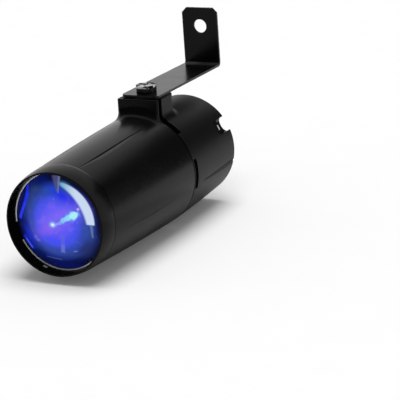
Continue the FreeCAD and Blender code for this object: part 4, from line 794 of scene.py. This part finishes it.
def camera_axes(settings):
    """Right, up and forward of the camera, from its azimuth, elevation and roll."""
    level = math.cos(settings.elevation)
    forward = Vector((-level * math.sin(settings.azimuth), level * math.cos(settings.azimuth),
                      -math.sin(settings.elevation)))
    right = Vector((math.cos(settings.azimuth), math.sin(settings.azimuth), 0))
    tilt = Matrix.Rotation(-settings.roll, 3, forward)
    right = tilt @ right
    return right, right.cross(forward), forward


def facing(place, target):
    """A turn that points a light or a card at target."""
    return (target - place).to_track_quat("-Z", "Y")


def wide_light(name, place, target, strength, angle):
    """A light as even as an overcast sky, which comes from place towards target."""
    light = bpy.data.lights.new(name, "SUN")
    light.energy = strength
    light.angle = angle
    lamp = bpy.data.objects.new(name, light)
    lamp.location = place
    lamp.rotation_euler = facing(place, target).to_euler()
    lamp.visible_glossy = False
    bpy.context.scene.collection.objects.link(lamp)


class PINSPOT_OT_stage(Operator):
    """Builds the pale floor, the surroundings, the cards, the wide light and the camera"""
    bl_idname = "pinspot.stage"
    bl_label = "Stage"

    def execute(self, context):
        settings = context.scene.pinspot_stage
        self.floor()
        self.world(context.scene, settings.fill)
        self.flags(settings)
        wide_light("overhead", on_lamp(110, 40, 900), on_lamp(0, 80, 0), settings.key,
                   settings.key_angle)
        self.camera(context.scene, settings)
        return {"FINISHED"}

    def floor(self):
        """A level square of pale stuff with a faint grain, lifted a little for the camera."""
        reach = 3.0
        corners = np.array([[-reach, -reach], [reach, -reach], [reach, reach], [-reach, reach]])
        points = np.column_stack([corners, np.full(4, FLOOR_Z)])
        finish = Finish("pale_floor")
        grain = finish.noise(finish.place(), 30.0, 2.0)
        tone = finish.mixed(grain, (0.92, 0.92, 0.92, 1.0), (0.94, 0.94, 0.94, 1.0))
        lit = finish.add("ShaderNodeBsdfDiffuse", None, {"Color": tone})
        lift = finish.add("ShaderNodeEmission", None, {"Strength": finish.seen() * 0.07})
        both = finish.add("ShaderNodeAddShader", None, {0: lit, 1: lift})
        finish.add("ShaderNodeOutputMaterial", None, {0: both})
        new_piece("floor", points, [[0, 1, 2, 3]], finish.material)

    def world(self, scene, fill):
        """White as the camera, gloss and glass see it, and fill times that as light."""
        finish = Finish("surroundings", "worlds")
        strength = finish.seen() * (1.0 - fill) + fill
        white = finish.add("ShaderNodeBackground", None, {"Color": (1, 1, 1, 1),
                                                          "Strength": strength})
        finish.add("ShaderNodeOutputWorld", None, {0: white})
        scene.world = finish.material

    def flags(self, settings):
        """Cards that gloss alone sees: a black one behind the light and to its right, a black
        one that leans over the camera, and a grey mat on the floor in front and below."""
        turn = settings.flag_azimuth
        aim = Vector((math.sin(turn), math.cos(turn), 0))
        foot = on_lamp(0, 80, 0) + aim
        foot.z = FLOOR_Z + settings.flag_lift
        side = Vector((aim.y, -aim.x, 0)) * settings.flag_width
        black = 0.003
        self.card("rear_flag", foot, side, Vector((0, 0, settings.flag_height)), black)
        self.card("upper_flag", on_lamp(0, -900, -20), Vector((2.4, 0, 0)),
                  Vector((0, 0.95, 1.27)), black)
        mat_front = on_lamp(0, -950, 0)
        mat_front.z = FLOOR_Z + 0.2 * MM
        mat_width, mat_length = 1.2, 1.1
        self.card("mat", mat_front, Vector((mat_width, 0, 0)), Vector((0, mat_length, 0)),
                  settings.mat)

    def card(self, name, middle, across, rise, grey):
        """A flat card of matt cloth. Its lower edge has its middle at middle and its length
        along across, and rise leads from there to its upper edge."""
        finish = Finish(name)
        cloth = finish.noise(finish.place(), 300.0, 2.0)
        tone = finish.mixed(cloth, shade([grey] * 3, 0.9), shade([grey] * 3, 1.1))
        lit = finish.add("ShaderNodeBsdfDiffuse", None, {"Color": tone})
        finish.add("ShaderNodeOutputMaterial", None, {0: lit})
        points = [list(middle + across * a + rise * b)
                  for a, b in ((-0.5, 0), (0.5, 0), (0.5, 1), (-0.5, 1))]
        card = new_piece(name, np.array(points), [[0, 1, 2, 3]], finish.material)
        card.visible_camera = card.visible_diffuse = card.visible_shadow = False

    def camera(self, scene, settings):
        """The camera stands behind its target, the given distance against its line of sight."""
        right, up, forward = camera_axes(settings)
        place = on_lamp(*CAMERA_TARGET) - forward * settings.distance
        camera = bpy.data.cameras.new("photographer")
        camera.lens = settings.focal_length
        camera.sensor_width = 36.0
        camera.clip_start = 0.01
        camera.clip_end = 20.0
        viewer = bpy.data.objects.new("photographer", camera)
        turn = Matrix((right, up, -forward)).transposed()
        viewer.matrix_world = Matrix.Translation(place) @ turn.to_4x4()
        scene.collection.objects.link(viewer)
        scene.camera = viewer
        scene.view_settings.view_transform = "Standard"


PIECES = (PINSPOT_OT_housings, PINSPOT_OT_bracket, PINSPOT_OT_clamp_bolt, PINSPOT_OT_lens,
          PINSPOT_OT_retaining_wire, PINSPOT_OT_fasteners, PINSPOT_OT_light_source,
          PINSPOT_OT_driver, PINSPOT_OT_stage)


class PINSPOT_PT_panel(Panel):
    """Lists the steps that dress the light"""
    bl_idname = "PINSPOT_PT_panel"
    bl_label = "Pinspot light"
    bl_space_type = "VIEW_3D"
    bl_region_type = "UI"
    bl_category = "Pinspot"

    def draw(self, context):
        for step in PIECES:
            self.layout.operator(step.bl_idname)


SETTINGS = {"pinspot_lens": LensSettings, "pinspot_finish": FinishSettings,
            "pinspot_stage": StageSettings}


def register():
    """Makes the settings, the steps and the panel known, and puts the settings on the scene."""
    for group in SETTINGS.values():
        bpy.utils.register_class(group)
    for name, group in SETTINGS.items():
        setattr(bpy.types.Scene, name, PointerProperty(type=group))
    for step in PIECES:
        bpy.utils.register_class(step)
    bpy.utils.register_class(PINSPOT_PT_panel)


def unregister():
    """Takes away what register added."""
    bpy.utils.unregister_class(PINSPOT_PT_panel)
    for step in reversed(PIECES):
        bpy.utils.unregister_class(step)
    for name, group in SETTINGS.items():
        delattr(bpy.types.Scene, name)
        bpy.utils.unregister_class(group)


def corners(box):
    """A box's two corners as lists of numbers."""
    return [list(corner) for corner in box]


def main():
    """Runs every step."""
    register()
    for step in PIECES:
        group, name = step.bl_idname.split(".")
        getattr(getattr(bpy.ops, group), name)()


if __name__ == "__main__":
    main()
